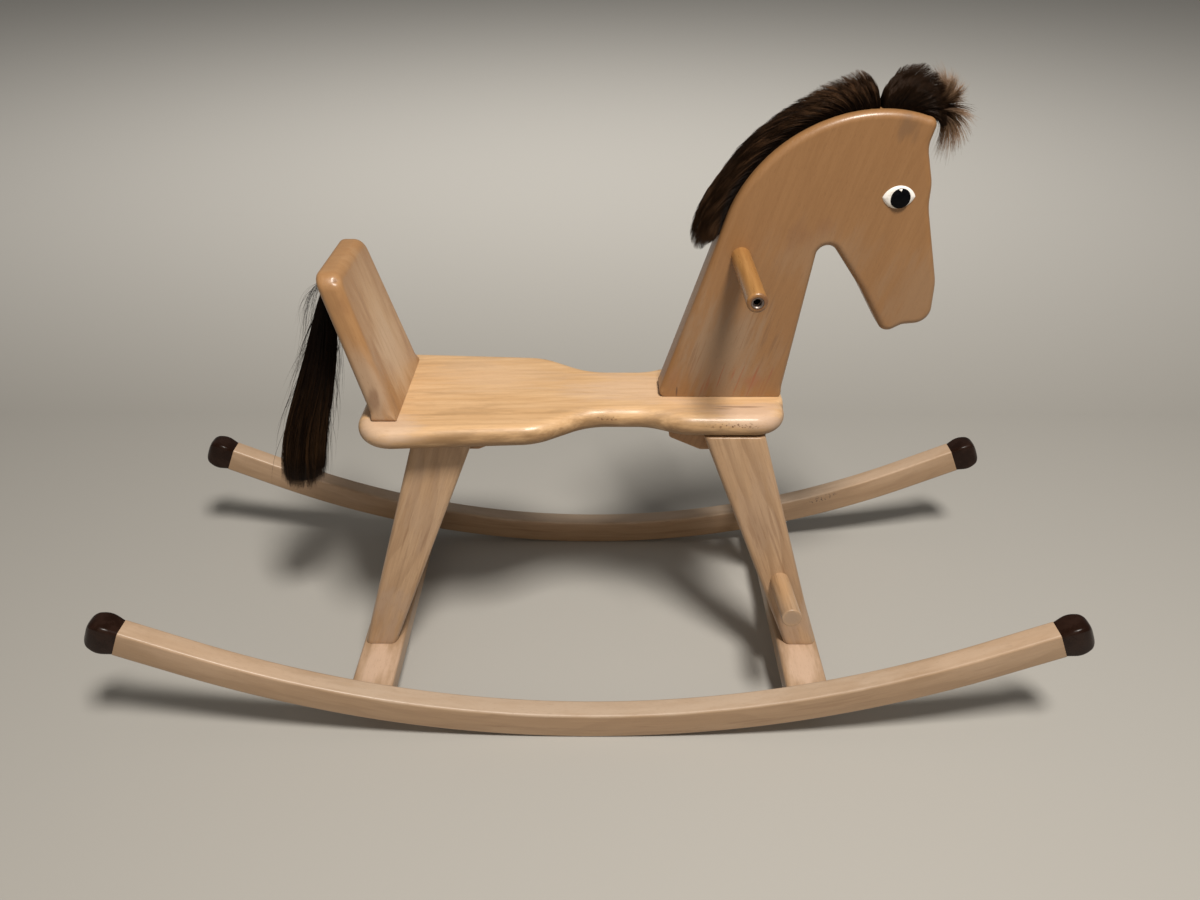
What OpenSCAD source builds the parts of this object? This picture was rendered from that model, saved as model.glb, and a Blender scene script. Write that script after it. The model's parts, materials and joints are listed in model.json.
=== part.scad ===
// Wooden rocking horse: boards, dowels and two bent runners, with a hair mane and tail.
// Millimetres. X runs toward the nose, Y toward the horse's left, Z up. The origin is on the
// floor, midway between the two runners, where they touch it.

/* [Runners] */
// Radius of the underside of a runner
runner_r = 983; // [900:1:1100]
// Half of the angle that the bent part of a runner spans
runner_arc = 24.8; // [21:0.1:28]
// Length of the straight wood beyond the bend at each end
runner_tip = 65; // [30:1:90]
// Height of a runner
runner_h = 32; // [27:0.5:40]
// Thickness of a runner
runner_w = 22; // [16:0.5:30]
// Distance between the centres of the two runners
gauge = 330; // [260:1:420]

/* [End caps] */
// Length of a cap that shows beyond the wood
cap_len = 31; // [24:1:45]
// How far a cap bulges beyond the wood around it
cap_bulge = 2.2; // [0.5:0.1:4]
// Length of the tenon that a cap is pressed onto
tenon_len = 18; // [8:1:20]
// Wall of a cap around the tenon
cap_wall = 3; // [2:0.5:5]

/* [Crossbars] */
// Distance from the middle of the horse to the centre of a crossbar
bar_x = 228; // [190:1:250]
// Width of a crossbar along the horse
bar_w = 44; // [40:1:56]
// Thickness of a crossbar
bar_t = 22; // [16:0.5:26]

/* [Seat] */
// Height of the seat's top face above the floor
seat_z = 322; // [270:1:400]
// Thickness of the seat
seat_t = 23; // [18:0.5:30]
// From the middle of the horse to the seat's rear end
seat_rear = 227; // [215:1:260]
// From the middle of the horse to the seat's front end
seat_front = 195.5; // [194:0.5:240]
// Half width of the seat at its rear end
seat_rear_hw = 89; // [80:1:110]
// Half width of the seat at its waist
seat_waist_hw = 45; // [38:1:55]
// Half width of the seat under the neck
seat_front_hw = 60.5; // [58:0.5:80]

/* [Legs] */
// Thickness of a leg
leg_t = 22; // [16:0.5:26]
// Outer face of a leg at its top, from the middle of the horse
leg_top_y = 58; // [50:1:70]
// Outer face of a leg at its foot, from the middle of the horse
leg_foot_y = 94; // [75:0.5:110]
// Inboard edge of a leg at its top, from the middle of the horse
leg_top_x = 113.5; // [100:0.5:125]
// Width of a leg at its top
leg_top_w = 61.5; // [45:0.5:66]
// Width of a leg at its foot
leg_foot_w = 34; // [28:0.5:40]
// How far the middle of a leg's foot sits outboard of the middle of its crossbar
foot_ahead = 2.3; // [0:0.1:4]

/* [Battens] */
// Width of a batten against the seat
batten_w = 98; // [80:1:104]
// Thickness of a batten
batten_t = 25; // [18:0.5:30]

/* [Backrest] */
// Front face of the backrest where it stands on the seat, behind the middle of the horse
back_x = 186; // [170:1:196]
// Angle that the backrest leans back
back_lean = 15; // [5:0.5:22]
// Thickness of the backrest
back_t = 23; // [18:0.5:28]
// Height of the backrest above the seat
back_h = 144; // [110:1:180]
// Half width of the backrest at its foot
back_foot_hw = 67; // [56:1:76]
// Half width of the backrest at its top
back_top_hw = 55; // [45:1:60]

/* [Head board] */
// Thickness of the head board
head_t = 32; // [20:0.5:36]
// Rear edge of the neck where it stands on the seat
neck_x = 68.5; // [60:0.5:74]
// Angle that the neck's rear edge leans forward
neck_lean = 17.4; // [16:0.1:20]
// Width of the neck where it stands on the seat
neck_foot_w = 124.4; // [112:0.1:128]
// Radius of the crest
crest_r = 135.5; // [128:0.5:142]
// Height of the crest's centre above the seat
crest_h = 142; // [136:1:150]

/* [Handles] */
// Diameter of a handle
handle_d = 18; // [14:0.5:26]
// Length of a handle that stands out of the head board
handle_len = 108; // [80:1:140]
// Place of the handles along the horse
handle_x = 141; // [130:1:150]
// Height of the handles above the seat
handle_h = 148.5; // [135:0.5:165]
// Diameter of the threaded rod through both handles
rod_d = 6; // [4:0.5:6]

/* [Foot rests] */
// Diameter of a foot rest
rest_d = 20; // [14:0.5:24]
// Length of a foot rest that stands out of the leg
rest_len = 69; // [50:1:100]
// Height of a foot rest's centre where it leaves the leg
rest_z = 135.5; // [120:0.5:170]
// How far a foot rest sits forward of the middle of its leg
rest_ahead = 0; // [-4:0.5:8]
// Depth of the blind hole in the leg that a foot rest's spigot is glued into
rest_hole = 15; // [8:0.5:15]
// Diameter of the spigot on a foot rest
spigot_d = 12; // [8:0.5:13]

/* [Hair] */
// Height of the mane above the crest
mane_h = 25; // [15:1:40]
// Thickness of the mane across the head board
mane_t = 24; // [14:1:34]
// Length of the tail from its pivot
tail_len = 249; // [180:1:260]
// Angle between the hanging tail and the vertical
tail_lean = 15.5; // [12:0.5:22]

/* [Hidden] */
$fn = 96;

wood = "#d3a677";
pale_wood = "#dcb48c";
dark_brown = "#2e1c17";
hair_brown = "#241a16";
steel = "#b9bcc0";
far = 1000;

// Small sizes that several pieces share
dowel_r = 4;
screw_r = 2.2;
screw_head_r = 4.2;
screw_head_h = 3.4;
groove_w = 6;
groove_d = 6;
eye_w = 30;
eye_h = 21;
eye_t = 2.6;
eye_stem_r = 2.5;
eye_stem_len = 7;
pupil_r = 9;
pupil_t = 1.4;

// Places that follow from the driving sizes
runner_y = gauge / 2;
inner_y = runner_y - runner_w / 2;
outer_y = runner_y + runner_w / 2;
tip_x = runner_r * sin(runner_arc);
tip_z = runner_r * (1 - cos(runner_arc));
bar_in = bar_x - bar_w / 2;
bar_top = runner_r - sqrt(pow(runner_r - runner_h, 2) - pow(bar_in, 2)) - 0.5;
seat_bottom = seat_z - seat_t;
splay = atan((leg_foot_y - leg_top_y) / (seat_bottom - bar_top));
batten_y = leg_top_y - leg_t / cos(splay);
crest_c = [neck_x + crest_r / cos(neck_lean) + crest_h * tan(neck_lean), seat_z + crest_h];
back_n = [-cos(back_lean), -sin(back_lean)];
tail_root_z = seat_z + back_h - 26;
binding_r = 8.5;
tail_gap = 2.5;
tail_hole_r = 6;
tail_hole_d = 14;

// The point of the backrest's rear face at height z, and the tail's pivot out from it
function back_rear(z) = [-back_x - back_t / cos(back_lean) - (z - seat_z) * tan(back_lean), z];
tail_pivot = back_rear(tail_root_z) + back_n * (binding_r + tail_gap);

// A corner b of an outline, between a and c, turned into an arc of radius r
function unit(v) = v / norm(v);
function fillet(a, b, c, r, n) =
    let (
        u = unit(a - b),
        v = unit(c - b),
        half = acos(u * v) / 2,
        centre = b + unit(u + v) * r / sin(half),
        p = b + u * r / tan(half) - centre,
        q = b + v * r / tan(half) - centre,
        from = atan2(p.y, p.x),
        turn = (atan2(q.y, q.x) - from + 540) % 360 - 180
    )
    [for (i = [0:n]) centre + r * [cos(from + turn * i / n), sin(from + turn * i / n)]];

// An outline of corners [x, y, radius], with every corner of some radius rounded
function rounded(c, n = 7) =
    [for (i = [0:len(c) - 1])
        let (
            a = c[(i + len(c) - 1) % len(c)],
            b = c[i],
            d = c[(i + 1) % len(c)]
        )
        each (b.z > 0 ? fillet([a.x, a.y], [b.x, b.y], [d.x, d.y], b.z, n) : [[b.x, b.y]])];

// Points on a circle around centre c
function arc(c, r, from, to, n) =
    [for (i = [0:n]) c + r * [cos(from + (to - from) * i / n), sin(from + (to - from) * i / n)]];

// Extrudes an outline in the X-Z plane across the horse, from y0 to y1
module across(y0, y1) {
    translate([0, y1, 0]) rotate([90, 0, 0]) linear_extrude(y1 - y0) children();
}

// A round bar along Y, from y0 to y1
module bar_y(r, y0, y1) {
    translate([0, y1, 0]) rotate([90, 0, 0]) cylinder(r = r, h = y1 - y0);
}

// A copy on the other side of the horse's middle, when side is -1
module sided(side) {
    if (side > 0) children(); else mirror([0, 1, 0]) children();
}

// A copy at the rear, when end is -1
module ended(end) {
    if (end > 0) children(); else mirror([1, 0, 0]) children();
}

// A countersunk screw pointing up from z0, its head down
module screw_up(len) {
    cylinder(r1 = screw_head_r, r2 = screw_r, h = screw_head_h);
    translate([0, 0, screw_head_h]) cylinder(r = screw_r, h = len - screw_head_h);
}

// ---- Runners and their caps ----

// Frame at the front end of the bend: X along the straight tip, Z square to it
module at_tip() {
    translate([tip_x, 0, tip_z]) rotate([0, -runner_arc, 0]) children();
}

// Bent part of a runner, seen from the side
module bend_outline() {
    intersection() {
        translate([0, runner_r]) difference() {
            circle(r = runner_r, $fn = 360);
            circle(r = runner_r - runner_h, $fn = 360);
        }
        polygon([[0, runner_r], [-far * tan(runner_arc), runner_r - far],
            [far * tan(runner_arc), runner_r - far]]);
    }
}

// Holes for the two dowels at each end of a crossbar, or the dowels themselves
module bar_dowels(r, y0, y1) {
    for (x = [-1, 1])
        translate([x * bar_w / 4, 0, bar_top - bar_t / 2]) bar_y(r, y0, y1);
}
dowel_in_runner = runner_w * 0.6;
dowel_in_bar = 24;

module runner() {
    difference() {
        union() {
            across(runner_y - runner_w / 2, runner_y + runner_w / 2) bend_outline();
            for (end = [-1, 1]) ended(end) at_tip() {
                translate([0, inner_y, 0]) cube([runner_tip, runner_w, runner_h]);
                translate([runner_tip, inner_y + cap_wall, cap_wall])
                    cube([tenon_len, runner_w - 2 * cap_wall, runner_h - 2 * cap_wall]);
            }
        }
        for (end = [-1, 1]) translate([end * bar_x, 0, 0])
            bar_dowels(dowel_r, inner_y, inner_y + dowel_in_runner);
    }
}
module runner_left() { color(pale_wood) runner(); }
module runner_right() { color(pale_wood) sided(-1) runner(); }

// Outline of a cap over a section s high: flush at its mouth, barrelled, with a domed end
cap_side_r = 13;
cap_plan_r = 9.5;
module cap_outline(s, end_r) {
    polygon(rounded([[0, 0, 0], [cap_len * 0.5, -cap_bulge, 30], [cap_len, cap_bulge, end_r],
        [cap_len + cap_bulge, s / 2, s * 0.6], [cap_len, s - cap_bulge, end_r],
        [cap_len * 0.5, s + cap_bulge, 30], [0, s, 0]], 9));
}

module cap() {
    at_tip() translate([runner_tip, 0, 0]) difference() {
        intersection() {
            across(inner_y - cap_bulge * 2, outer_y + cap_bulge * 2) cap_outline(runner_h, cap_side_r);
            translate([0, inner_y, -runner_h]) linear_extrude(3 * runner_h)
                cap_outline(runner_w, cap_plan_r);
        }
        translate([-1, inner_y + cap_wall, cap_wall])
            cube([tenon_len + 1, runner_w - 2 * cap_wall, runner_h - 2 * cap_wall]);
    }
}
module cap_at(end, side) { color(dark_brown) ended(end) sided(side) cap(); }

// ---- Crossbars ----

module crossbar(end) {
    color(pale_wood) ended(end) difference() {
        translate([bar_in, -inner_y, bar_top - bar_t]) cube([bar_w, 2 * inner_y, bar_t]);
        for (side = [-1, 1]) sided(side) {
            translate([bar_x, 0, 0]) bar_dowels(dowel_r, inner_y - dowel_in_bar, inner_y);
            foot_screw_place() screw_up(foot_screw_len);
        }
    }
}

// ---- Legs ----

foot_x = bar_x + foot_ahead - leg_foot_w / 2;
rest_s = (rest_z - bar_top) / (seat_bottom - bar_top);
foot_mid_x = foot_x + leg_foot_w / 2;
rest_x = foot_mid_x + rest_s * (leg_top_x + leg_top_w / 2 - foot_mid_x) + rest_ahead;
rest_y = leg_foot_y + rest_s * (leg_top_y - leg_foot_y);

// Frame in the outer face of a left leg: X along the horse, Y up the face, Z out of it
module on_leg() {
    translate([0, leg_foot_y, bar_top]) rotate([splay, 0, 0]) rotate([90, 0, 0])
        mirror([0, 0, 1]) children();
}

// The leg's board runs past both ends and is cut level with the seat and with the crossbar
module leg() {
    face_h = (seat_bottom - bar_top) / cos(splay);
    over = 0.1;
    in_slope = (leg_top_x - foot_x) / face_h;
    out_slope = (leg_top_x + leg_top_w - foot_x - leg_foot_w) / face_h;
    intersection() {
        difference() {
            on_leg() translate([0, 0, -leg_t]) linear_extrude(leg_t) polygon([
                [foot_x - over * face_h * in_slope, -over * face_h],
                [foot_x + leg_foot_w - over * face_h * out_slope, -over * face_h],
                [leg_top_x + leg_top_w + over * face_h * out_slope, (1 + over) * face_h],
                [leg_top_x + over * face_h * in_slope, (1 + over) * face_h]]);
            leg_dowel_places() bar_y(dowel_r, -leg_dowel_in_batten, leg_dowel_in_leg);
            foot_screw_place() screw_up(foot_screw_len);
        }
        translate([0, 0, bar_top]) cube([far, far, seat_bottom - bar_top]);
    }
}
module leg_at(end, side) {
    color(wood) ended(end) sided(side) difference() {
        leg();
        if (end > 0) foot_rest_place() cylinder(r = spigot_d / 2, h = 2 * rest_hole, center = true);
    }
}

// Two dowels from the top of each leg into the end of the batten
leg_dowel_in_leg = leg_t * 0.6;
leg_dowel_in_batten = 22;
leg_dowel_drop = batten_t * 0.55;
module leg_dowel_places() {
    z = seat_bottom - leg_dowel_drop;
    y = batten_y + leg_dowel_drop * tan(splay);
    for (x = [0.36, 0.7])
        translate([leg_top_x + leg_top_w * x, y, z]) rotate([-splay, 0, 0]) children();
}

// One screw up through the crossbar into the foot of each leg
foot_screw_len = bar_t + 26;
foot_screw_y = leg_foot_y - leg_t / cos(splay) / 2;
module foot_screw_place() {
    translate([bar_x, foot_screw_y, bar_top - bar_t]) rotate([splay, 0, 0])
        translate([0, 0, screw_seat]) children();
}
screw_seat = 0.6;

// ---- Foot rests ----

module foot_rest_place() {
    translate([rest_x, rest_y, rest_z]) rotate([splay - 90, 0, 0]) children();
}
module foot_rest(side) {
    chamfer = 1.2;
    color(wood) sided(side) foot_rest_place() {
        translate([0, 0, -rest_hole]) cylinder(r = spigot_d / 2, h = rest_hole + chamfer);
        cylinder(r = rest_d / 2, h = rest_len - chamfer);
        translate([0, 0, rest_len - chamfer])
            cylinder(r1 = rest_d / 2, r2 = rest_d / 2 - chamfer, h = chamfer);
    }
}

// ---- Battens and seat ----

batten_in = leg_top_x - 33;
batten_bevel = 8;
module batten_outline() {
    polygon([[batten_in, seat_bottom], [batten_in + batten_w, seat_bottom],
        [batten_in + batten_w, seat_bottom - batten_t + batten_bevel],
        [batten_in + batten_w - batten_bevel, seat_bottom - batten_t],
        [leg_top_x - 1, seat_bottom - batten_t],
        [batten_in, seat_bottom - batten_t * 0.45]]);
}
// The battens' ends are cut to the legs' slope
module batten(end) {
    color(wood) ended(end) difference() {
        intersection() {
            across(-2 * batten_y, 2 * batten_y) batten_outline();
            rotate([90, 0, 90]) linear_extrude(far) polygon([
                for (side = [-1, 1]) for (drop = side > 0 ? [0, batten_t] : [batten_t, 0])
                    [side * (batten_y + drop * tan(splay)), seat_bottom - drop]]);
        }
        for (side = [-1, 1]) sided(side)
            leg_dowel_places() bar_y(dowel_r, -leg_dowel_in_batten, leg_dowel_in_leg);
        batten_screw_places() screw_up(batten_screw_len);
        if (end > 0) neck_screw_places() screw_up(neck_screw_len);
    }
}
batten_screw_len = batten_t + seat_t * 0.55;
batten_screw_x = leg_top_x + 8;
module batten_screw_places() {
    for (side = [-1, 1])
        translate([batten_screw_x, side * batten_y * 0.55, seat_bottom - batten_t + screw_seat])
            children();
}

// Half of the seat's plan, from the rear end round to the front
seat_side = [
    [-seat_rear, seat_rear_hw, 36],
    [-50, seat_rear_hw - 10.5, 60],
    [0, seat_waist_hw, 60],
    [58, seat_waist_hw, 50],
    [92, seat_front_hw, 50],
    [seat_front, seat_front_hw, 32]];
module seat_board() {
    color(wood) difference() {
        translate([0, 0, seat_bottom]) linear_extrude(seat_t) polygon(rounded(concat(seat_side,
            [for (i = [len(seat_side) - 1:-1:0]) [seat_side[i].x, -seat_side[i].y, seat_side[i].z]])));
        for (end = [-1, 1]) ended(end) batten_screw_places() screw_up(batten_screw_len);
        neck_screw_places() screw_up(neck_screw_len);
        neck_dowel_places() cylinder(r = dowel_r, h = neck_dowel_len, center = true);
        backrest_dowel_places() cylinder(r = dowel_r, h = back_dowel_len, center = true);
    }
}

// ---- Backrest ----

// Frame in the backrest's front face: X across the horse, Y up the face, Z toward the rear
module on_back() {
    translate([-back_x, 0, seat_z]) rotate([0, -back_lean, 0]) rotate([90, 0, -90]) children();
}
module backrest() {
    face_h = back_h / cos(back_lean);
    spread = (back_foot_hw - back_top_hw) / face_h;
    below = back_t;
    color(wood) difference() {
        intersection() {
            on_back() linear_extrude(back_t) polygon(rounded([
                [back_foot_hw + spread * below, -below, 0], [back_top_hw, face_h, 14],
                [-back_top_hw, face_h, 14], [-back_foot_hw - spread * below, -below, 0]]));
            translate([-far, -far / 2, seat_z]) cube([far, far, far]);
        }
        tail_hole_place() cylinder(r = tail_hole_r, h = 2 * tail_hole_d, center = true);
        backrest_dowel_places() cylinder(r = dowel_r, h = back_dowel_len, center = true);
    }
}
back_dowel_len = 34;
module backrest_dowel_places() {
    for (y = [-1, 0, 1])
        translate([-back_x - back_t / cos(back_lean) / 2, y * back_foot_hw * 0.62, seat_z])
            rotate([0, -back_lean, 0]) children();
}

// ---- Head board ----

crest_from = 180 - neck_lean;
crest_to = 74;
forehead_at = 70;
forehead_x = (crest_r + 1.3) * cos(forehead_at);
forehead_z = (crest_r + 1.3) * sin(forehead_at);
// Corners of the face and the throat, from the forehead down to the neck's front edge, as
// distances from the crest's centre, with the radius of each
face = [
    [forehead_x, forehead_z, 7], [forehead_x - 5.3, forehead_z - 23.5, 25], [51, 73, 40],
    [52, 52, 60], [72.5, -20, 50], [74.5, -61, 16], [48, -63.5, 10], [31, -73, 10],
    [2, -26, 80], [-40.8, 31.7, 10]];
function head_points() =
    let (
        lower = [[neck_x + neck_foot_w, seat_z, 4], [neck_x, seat_z, 8]],
        crest = [for (p = arc(crest_c, crest_r, crest_from, crest_to, 40)) [p.x, p.y, 0]],
        front = [for (p = face) [crest_c.x + p.x, crest_c.y + p.y, p.z]]
    )
    rounded(concat(lower, crest, front));

// Side view of the groove in the crest, d deep, which runs a little way down the neck's edge
groove_below = 18;
groove_to = crest_to + 5;
module groove_outline(d) {
    reach = 2 * crest_r;
    translate(crest_c) {
        intersection() {
            difference() {
                circle(r = crest_r + 1, $fn = 240);
                circle(r = crest_r - d, $fn = 240);
            }
            polygon([[0, 0], reach * [cos(crest_from), sin(crest_from)], [-crest_r, reach],
                [crest_r, reach], reach * [cos(groove_to), sin(groove_to)]]);
        }
        rotate(crest_from) translate([crest_r - d, -1]) square([d + 1, groove_below + 1]);
    }
}

module head_board() {
    color(wood) difference() {
        across(-head_t / 2, head_t / 2) polygon(head_points());
        across(-groove_w / 2, groove_w / 2) groove_outline(groove_d);
        translate([handle_x, 0, seat_z + handle_h]) bar_y(rod_d / 2, -head_t, head_t);
        for (side = [-1, 1]) sided(side) eye_place()
            cylinder(r = eye_stem_r, h = 2 * eye_stem_len, center = true);
        neck_screw_places() screw_up(neck_screw_len);
        neck_dowel_places() cylinder(r = dowel_r, h = neck_dowel_len, center = true);
    }
}

// Two long screws up through the front batten and the seat into the neck, and two dowels
neck_screw_len = batten_t + seat_t + 34;
module neck_screw_places() {
    for (x = [0.4, 0.72])
        translate([neck_x + neck_foot_w * x, 0, seat_bottom - batten_t + screw_seat]) children();
}
neck_dowel_len = 34;
module neck_dowel_places() {
    for (x = [0.16, 0.88]) translate([neck_x + neck_foot_w * x, 0, seat_z]) children();
}

// ---- Handles ----

socket_d = 7;
nut_r = 5.5;
nut_len = 13;
nut_socket = 5;
nut_recess = 0.4;
handle_end = head_t / 2 + handle_len;
module handle(side) {
    round_r = 2.5;
    color(wood) sided(side) translate([handle_x, handle_end, seat_z + handle_h])
        rotate([90, 0, 0]) rotate_extrude() polygon(concat(
            [[nut_r, 0]],
            arc([handle_d / 2 - round_r, round_r], round_r, -90, 0, 6),
            [[handle_d / 2, handle_len], [rod_d / 2, handle_len],
                [rod_d / 2, nut_len + nut_recess], [nut_r, nut_len + nut_recess]]));
}
rod_half = handle_end - nut_recess - nut_socket;
module handle_rod() {
    color(steel) translate([handle_x, 0, seat_z + handle_h]) bar_y(rod_d / 2, -rod_half, rod_half);
}
module handle_nut(side) {
    lip = 0.8;
    color(steel) sided(side) translate([handle_x, handle_end - nut_recess, seat_z + handle_h])
        rotate([90, 0, 0]) difference() {
            cylinder(r = nut_r, h = nut_len);
            translate([0, 0, -1]) cylinder(r = rod_d / 2, h = nut_len + 2);
            cylinder(r = socket_d / 2, h = nut_socket);
            translate([0, 0, -0.01]) cylinder(r1 = socket_d / 2 + lip, r2 = socket_d / 2, h = lip);
        }
}

// ---- Eyes ----

eye_x = crest_c.x + 22;
eye_z = crest_c.y + 62;
eye_tilt = 2;
module eye_place() {
    translate([eye_x, head_t / 2, eye_z]) rotate([-90, 0, 0]) rotate(-eye_tilt) children();
}
// An almond w long and h high, where two circles overlap
module almond(w, h) {
    r = (w * w + h * h) / (4 * h);
    intersection_for (s = [-1, 1]) translate([0, s * (r - h / 2)]) circle(r = r);
}
module eye(side) {
    color("white") sided(side) eye_place() {
        linear_extrude(eye_t) almond(eye_w, eye_h);
        translate([0, 0, -eye_stem_len]) cylinder(r = eye_stem_r, h = eye_stem_len);
    }
}
module pupil(side) {
    color("#101010") sided(side) eye_place() translate([1, 0, eye_t])
        cylinder(r = pupil_r, h = pupil_t);
}

// ---- Mane, forelock and tail ----

module mane_tape() {
    color(hair_brown) across(-groove_w / 2, groove_w / 2) intersection() {
        groove_outline(groove_d);
        polygon(head_points());
    }
}

parting = 91;
mane_from = 166;
module mane() {
    outer = crest_r + mane_h;
    tip = crest_c + (crest_r + 20) * [cos(180), sin(180)];
    color(hair_brown) across(-mane_t / 2, mane_t / 2) difference() {
        polygon(concat(
            arc(crest_c, outer, parting + 3, mane_from, 30),
            rounded([[tip.x - 8, tip.y + 18, 8], [tip.x + 2, tip.y - 2, 3],
                [tip.x + 24, tip.y + 26, 0]], 4),
            arc(crest_c, crest_r - 8, mane_from, parting + 1, 8)));
        polygon(head_points());
    }
}
module forelock() {
    c = crest_c;
    color(hair_brown) across(-mane_t / 2, mane_t / 2) difference() {
        polygon(rounded([
            [c.x - 3, c.y + crest_r - 8, 0], [c.x - 2, c.y + crest_r + 20, 6],
            [c.x + 8, c.y + 170, 8], [c.x + 36, c.y + 173, 12], [c.x + 62, c.y + 155, 8],
            [c.x + 74, c.y + 130, 10], [c.x + 68, c.y + 112, 3], [c.x + 50, c.y + 124, 6],
            [c.x + 36, c.y + 122, 0]], 4));
        polygon(head_points());
    }
}

module tail_hole_place() {
    p = back_rear(tail_root_z);
    translate([p.x, 0, p.y]) rotate([0, -90 - back_lean, 0]) children();
}
module tail_plug() {
    stand_out = 1.8;
    color(hair_brown) tail_hole_place() translate([0, 0, -tail_hole_d])
        cylinder(r = tail_hole_r, h = tail_hole_d + stand_out);
}
module tail_binding() {
    color(dark_brown) translate([tail_pivot.x, 0, tail_pivot.y]) sphere(r = binding_r);
}
module tail() {
    top = binding_r + 0.5;
    color(hair_brown) translate([tail_pivot.x, 0, tail_pivot.y]) rotate([0, 180 + tail_lean, 0])
        rotate_extrude() polygon(rounded([[0, top, 0], [6, top, 0], [13, 40, 60],
            [28, tail_len - 24, 12], [20, tail_len, 8], [0, tail_len, 0]], 5));
}

// ---- Hidden dowels and screws ----

module runner_dowels() {
    color(pale_wood) for (end = [-1, 1]) for (side = [-1, 1]) ended(end) sided(side)
        translate([bar_x, 0, 0])
            bar_dowels(dowel_r, inner_y - dowel_in_bar, inner_y + dowel_in_runner);
}
module foot_screws() {
    color(steel) for (end = [-1, 1]) for (side = [-1, 1]) ended(end) sided(side)
        foot_screw_place() screw_up(foot_screw_len);
}
module leg_dowels() {
    color(pale_wood) for (end = [-1, 1]) for (side = [-1, 1]) ended(end) sided(side)
        leg_dowel_places() bar_y(dowel_r, -leg_dowel_in_batten, leg_dowel_in_leg);
}
module batten_screws() {
    color(steel) for (end = [-1, 1]) ended(end) batten_screw_places() screw_up(batten_screw_len);
}
module neck_dowels() {
    color(pale_wood) neck_dowel_places() cylinder(r = dowel_r, h = neck_dowel_len, center = true);
}
module neck_screws() {
    color(steel) neck_screw_places() screw_up(neck_screw_len);
}
module backrest_dowels() {
    color(pale_wood) backrest_dowel_places()
        cylinder(r = dowel_r, h = back_dowel_len, center = true);
}

runner_right();
runner_left();
cap_at(1, -1);  // cap_front_right
cap_at(1, 1);  // cap_front_left
cap_at(-1, -1);  // cap_rear_right
cap_at(-1, 1);  // cap_rear_left
crossbar(1);  // crossbar_front
crossbar(-1);  // crossbar_rear
leg_at(1, -1);  // leg_front_right
leg_at(1, 1);  // leg_front_left
leg_at(-1, -1);  // leg_rear_right
leg_at(-1, 1);  // leg_rear_left
batten(1);  // batten_front
batten(-1);  // batten_rear
seat_board();
backrest();
head_board();
handle(-1);  // handle_right
handle(1);  // handle_left
handle_rod();
handle_nut(-1);  // handle_nut_right
handle_nut(1);  // handle_nut_left
foot_rest(-1);  // foot_rest_right
foot_rest(1);  // foot_rest_left
eye(-1);  // eye_right
eye(1);  // eye_left
pupil(-1);  // pupil_right
pupil(1);  // pupil_left
mane_tape();
mane();
forelock();
tail_plug();
tail_binding();
tail();
runner_dowels();
foot_screws();
leg_dowels();
batten_screws();
neck_dowels();
neck_screws();
backrest_dowels();
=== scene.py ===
# %% [markdown]
# # A wooden rocking horse, finished around its frame
#
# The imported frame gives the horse's sizes, its bodies and its joints. This lesson adds what a maker
# would add at the bench: edges rounded over with a router, a varnish that has worn, moulded caps,
# glossy eyes, and hair. Every piece is worked out as a surface with numpy, in metres, in the frame's
# own axes: X toward the nose, Y toward the horse's left, Z up.

# %% Load the frame and note the box that it fills
import json
import math

import bpy
import numpy as np
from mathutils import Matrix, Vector


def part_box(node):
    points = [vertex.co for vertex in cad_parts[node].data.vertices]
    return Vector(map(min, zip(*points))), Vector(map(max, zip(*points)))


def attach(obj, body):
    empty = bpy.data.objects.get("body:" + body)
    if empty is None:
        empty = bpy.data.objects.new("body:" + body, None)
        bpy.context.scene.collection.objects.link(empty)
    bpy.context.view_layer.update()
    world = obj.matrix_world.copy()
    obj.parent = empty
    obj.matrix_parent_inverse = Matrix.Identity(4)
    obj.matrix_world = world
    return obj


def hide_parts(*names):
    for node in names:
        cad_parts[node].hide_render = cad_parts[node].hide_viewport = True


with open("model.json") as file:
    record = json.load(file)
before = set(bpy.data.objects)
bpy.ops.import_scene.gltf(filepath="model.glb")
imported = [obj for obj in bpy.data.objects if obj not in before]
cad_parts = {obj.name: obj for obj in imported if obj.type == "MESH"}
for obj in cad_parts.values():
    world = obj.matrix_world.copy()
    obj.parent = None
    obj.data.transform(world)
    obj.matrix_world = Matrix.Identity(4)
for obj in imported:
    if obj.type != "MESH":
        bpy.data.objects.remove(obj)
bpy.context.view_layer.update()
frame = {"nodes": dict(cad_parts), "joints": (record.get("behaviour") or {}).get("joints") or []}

# %% [markdown]
# ## Camera, light and floor
#
# The viewer stands at the horse's right side and looks down at it a little. One soft lamp hangs
# nearly overhead, on the viewer's side, so that each board has a lit top and a calmer side. A second
# lamp stands behind the horse with its back to it, and only lights the floor further away. A bright
# room is stood for by the world's even light, which fills the shadows.

# %% Camera
view_from = Vector((0.0129, -0.8181, 0.7713))
view_down = math.radians(32.62)
view_turn = math.radians(0.16)
film_width, focal_length = 36.0, 27.17  # millimetres

lens = bpy.data.cameras.new("camera")
lens.sensor_width = film_width
lens.lens = focal_length
camera = bpy.data.objects.new("camera", lens)
camera.location = view_from
camera.rotation_euler = (math.radians(90) - view_down, 0, view_turn)
bpy.context.scene.collection.objects.link(camera)
bpy.context.scene.camera = camera
print("camera at", tuple(round(v, 3) for v in view_from), "looking down by",
      round(math.degrees(view_down), 1), "degrees")


# %% Lamps, world and floor
def lamp(name, place, aim, size, watts, colour):
    """A square soft lamp at place that points at aim."""
    light = bpy.data.lights.new(name, "AREA")
    light.size = size
    light.energy = watts
    light.color = colour
    holder = bpy.data.objects.new(name, light)
    holder.location = place
    holder.rotation_euler = (Vector(aim) - Vector(place)).to_track_quat("-Z", "Y").to_euler()
    bpy.context.scene.collection.objects.link(holder)


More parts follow.
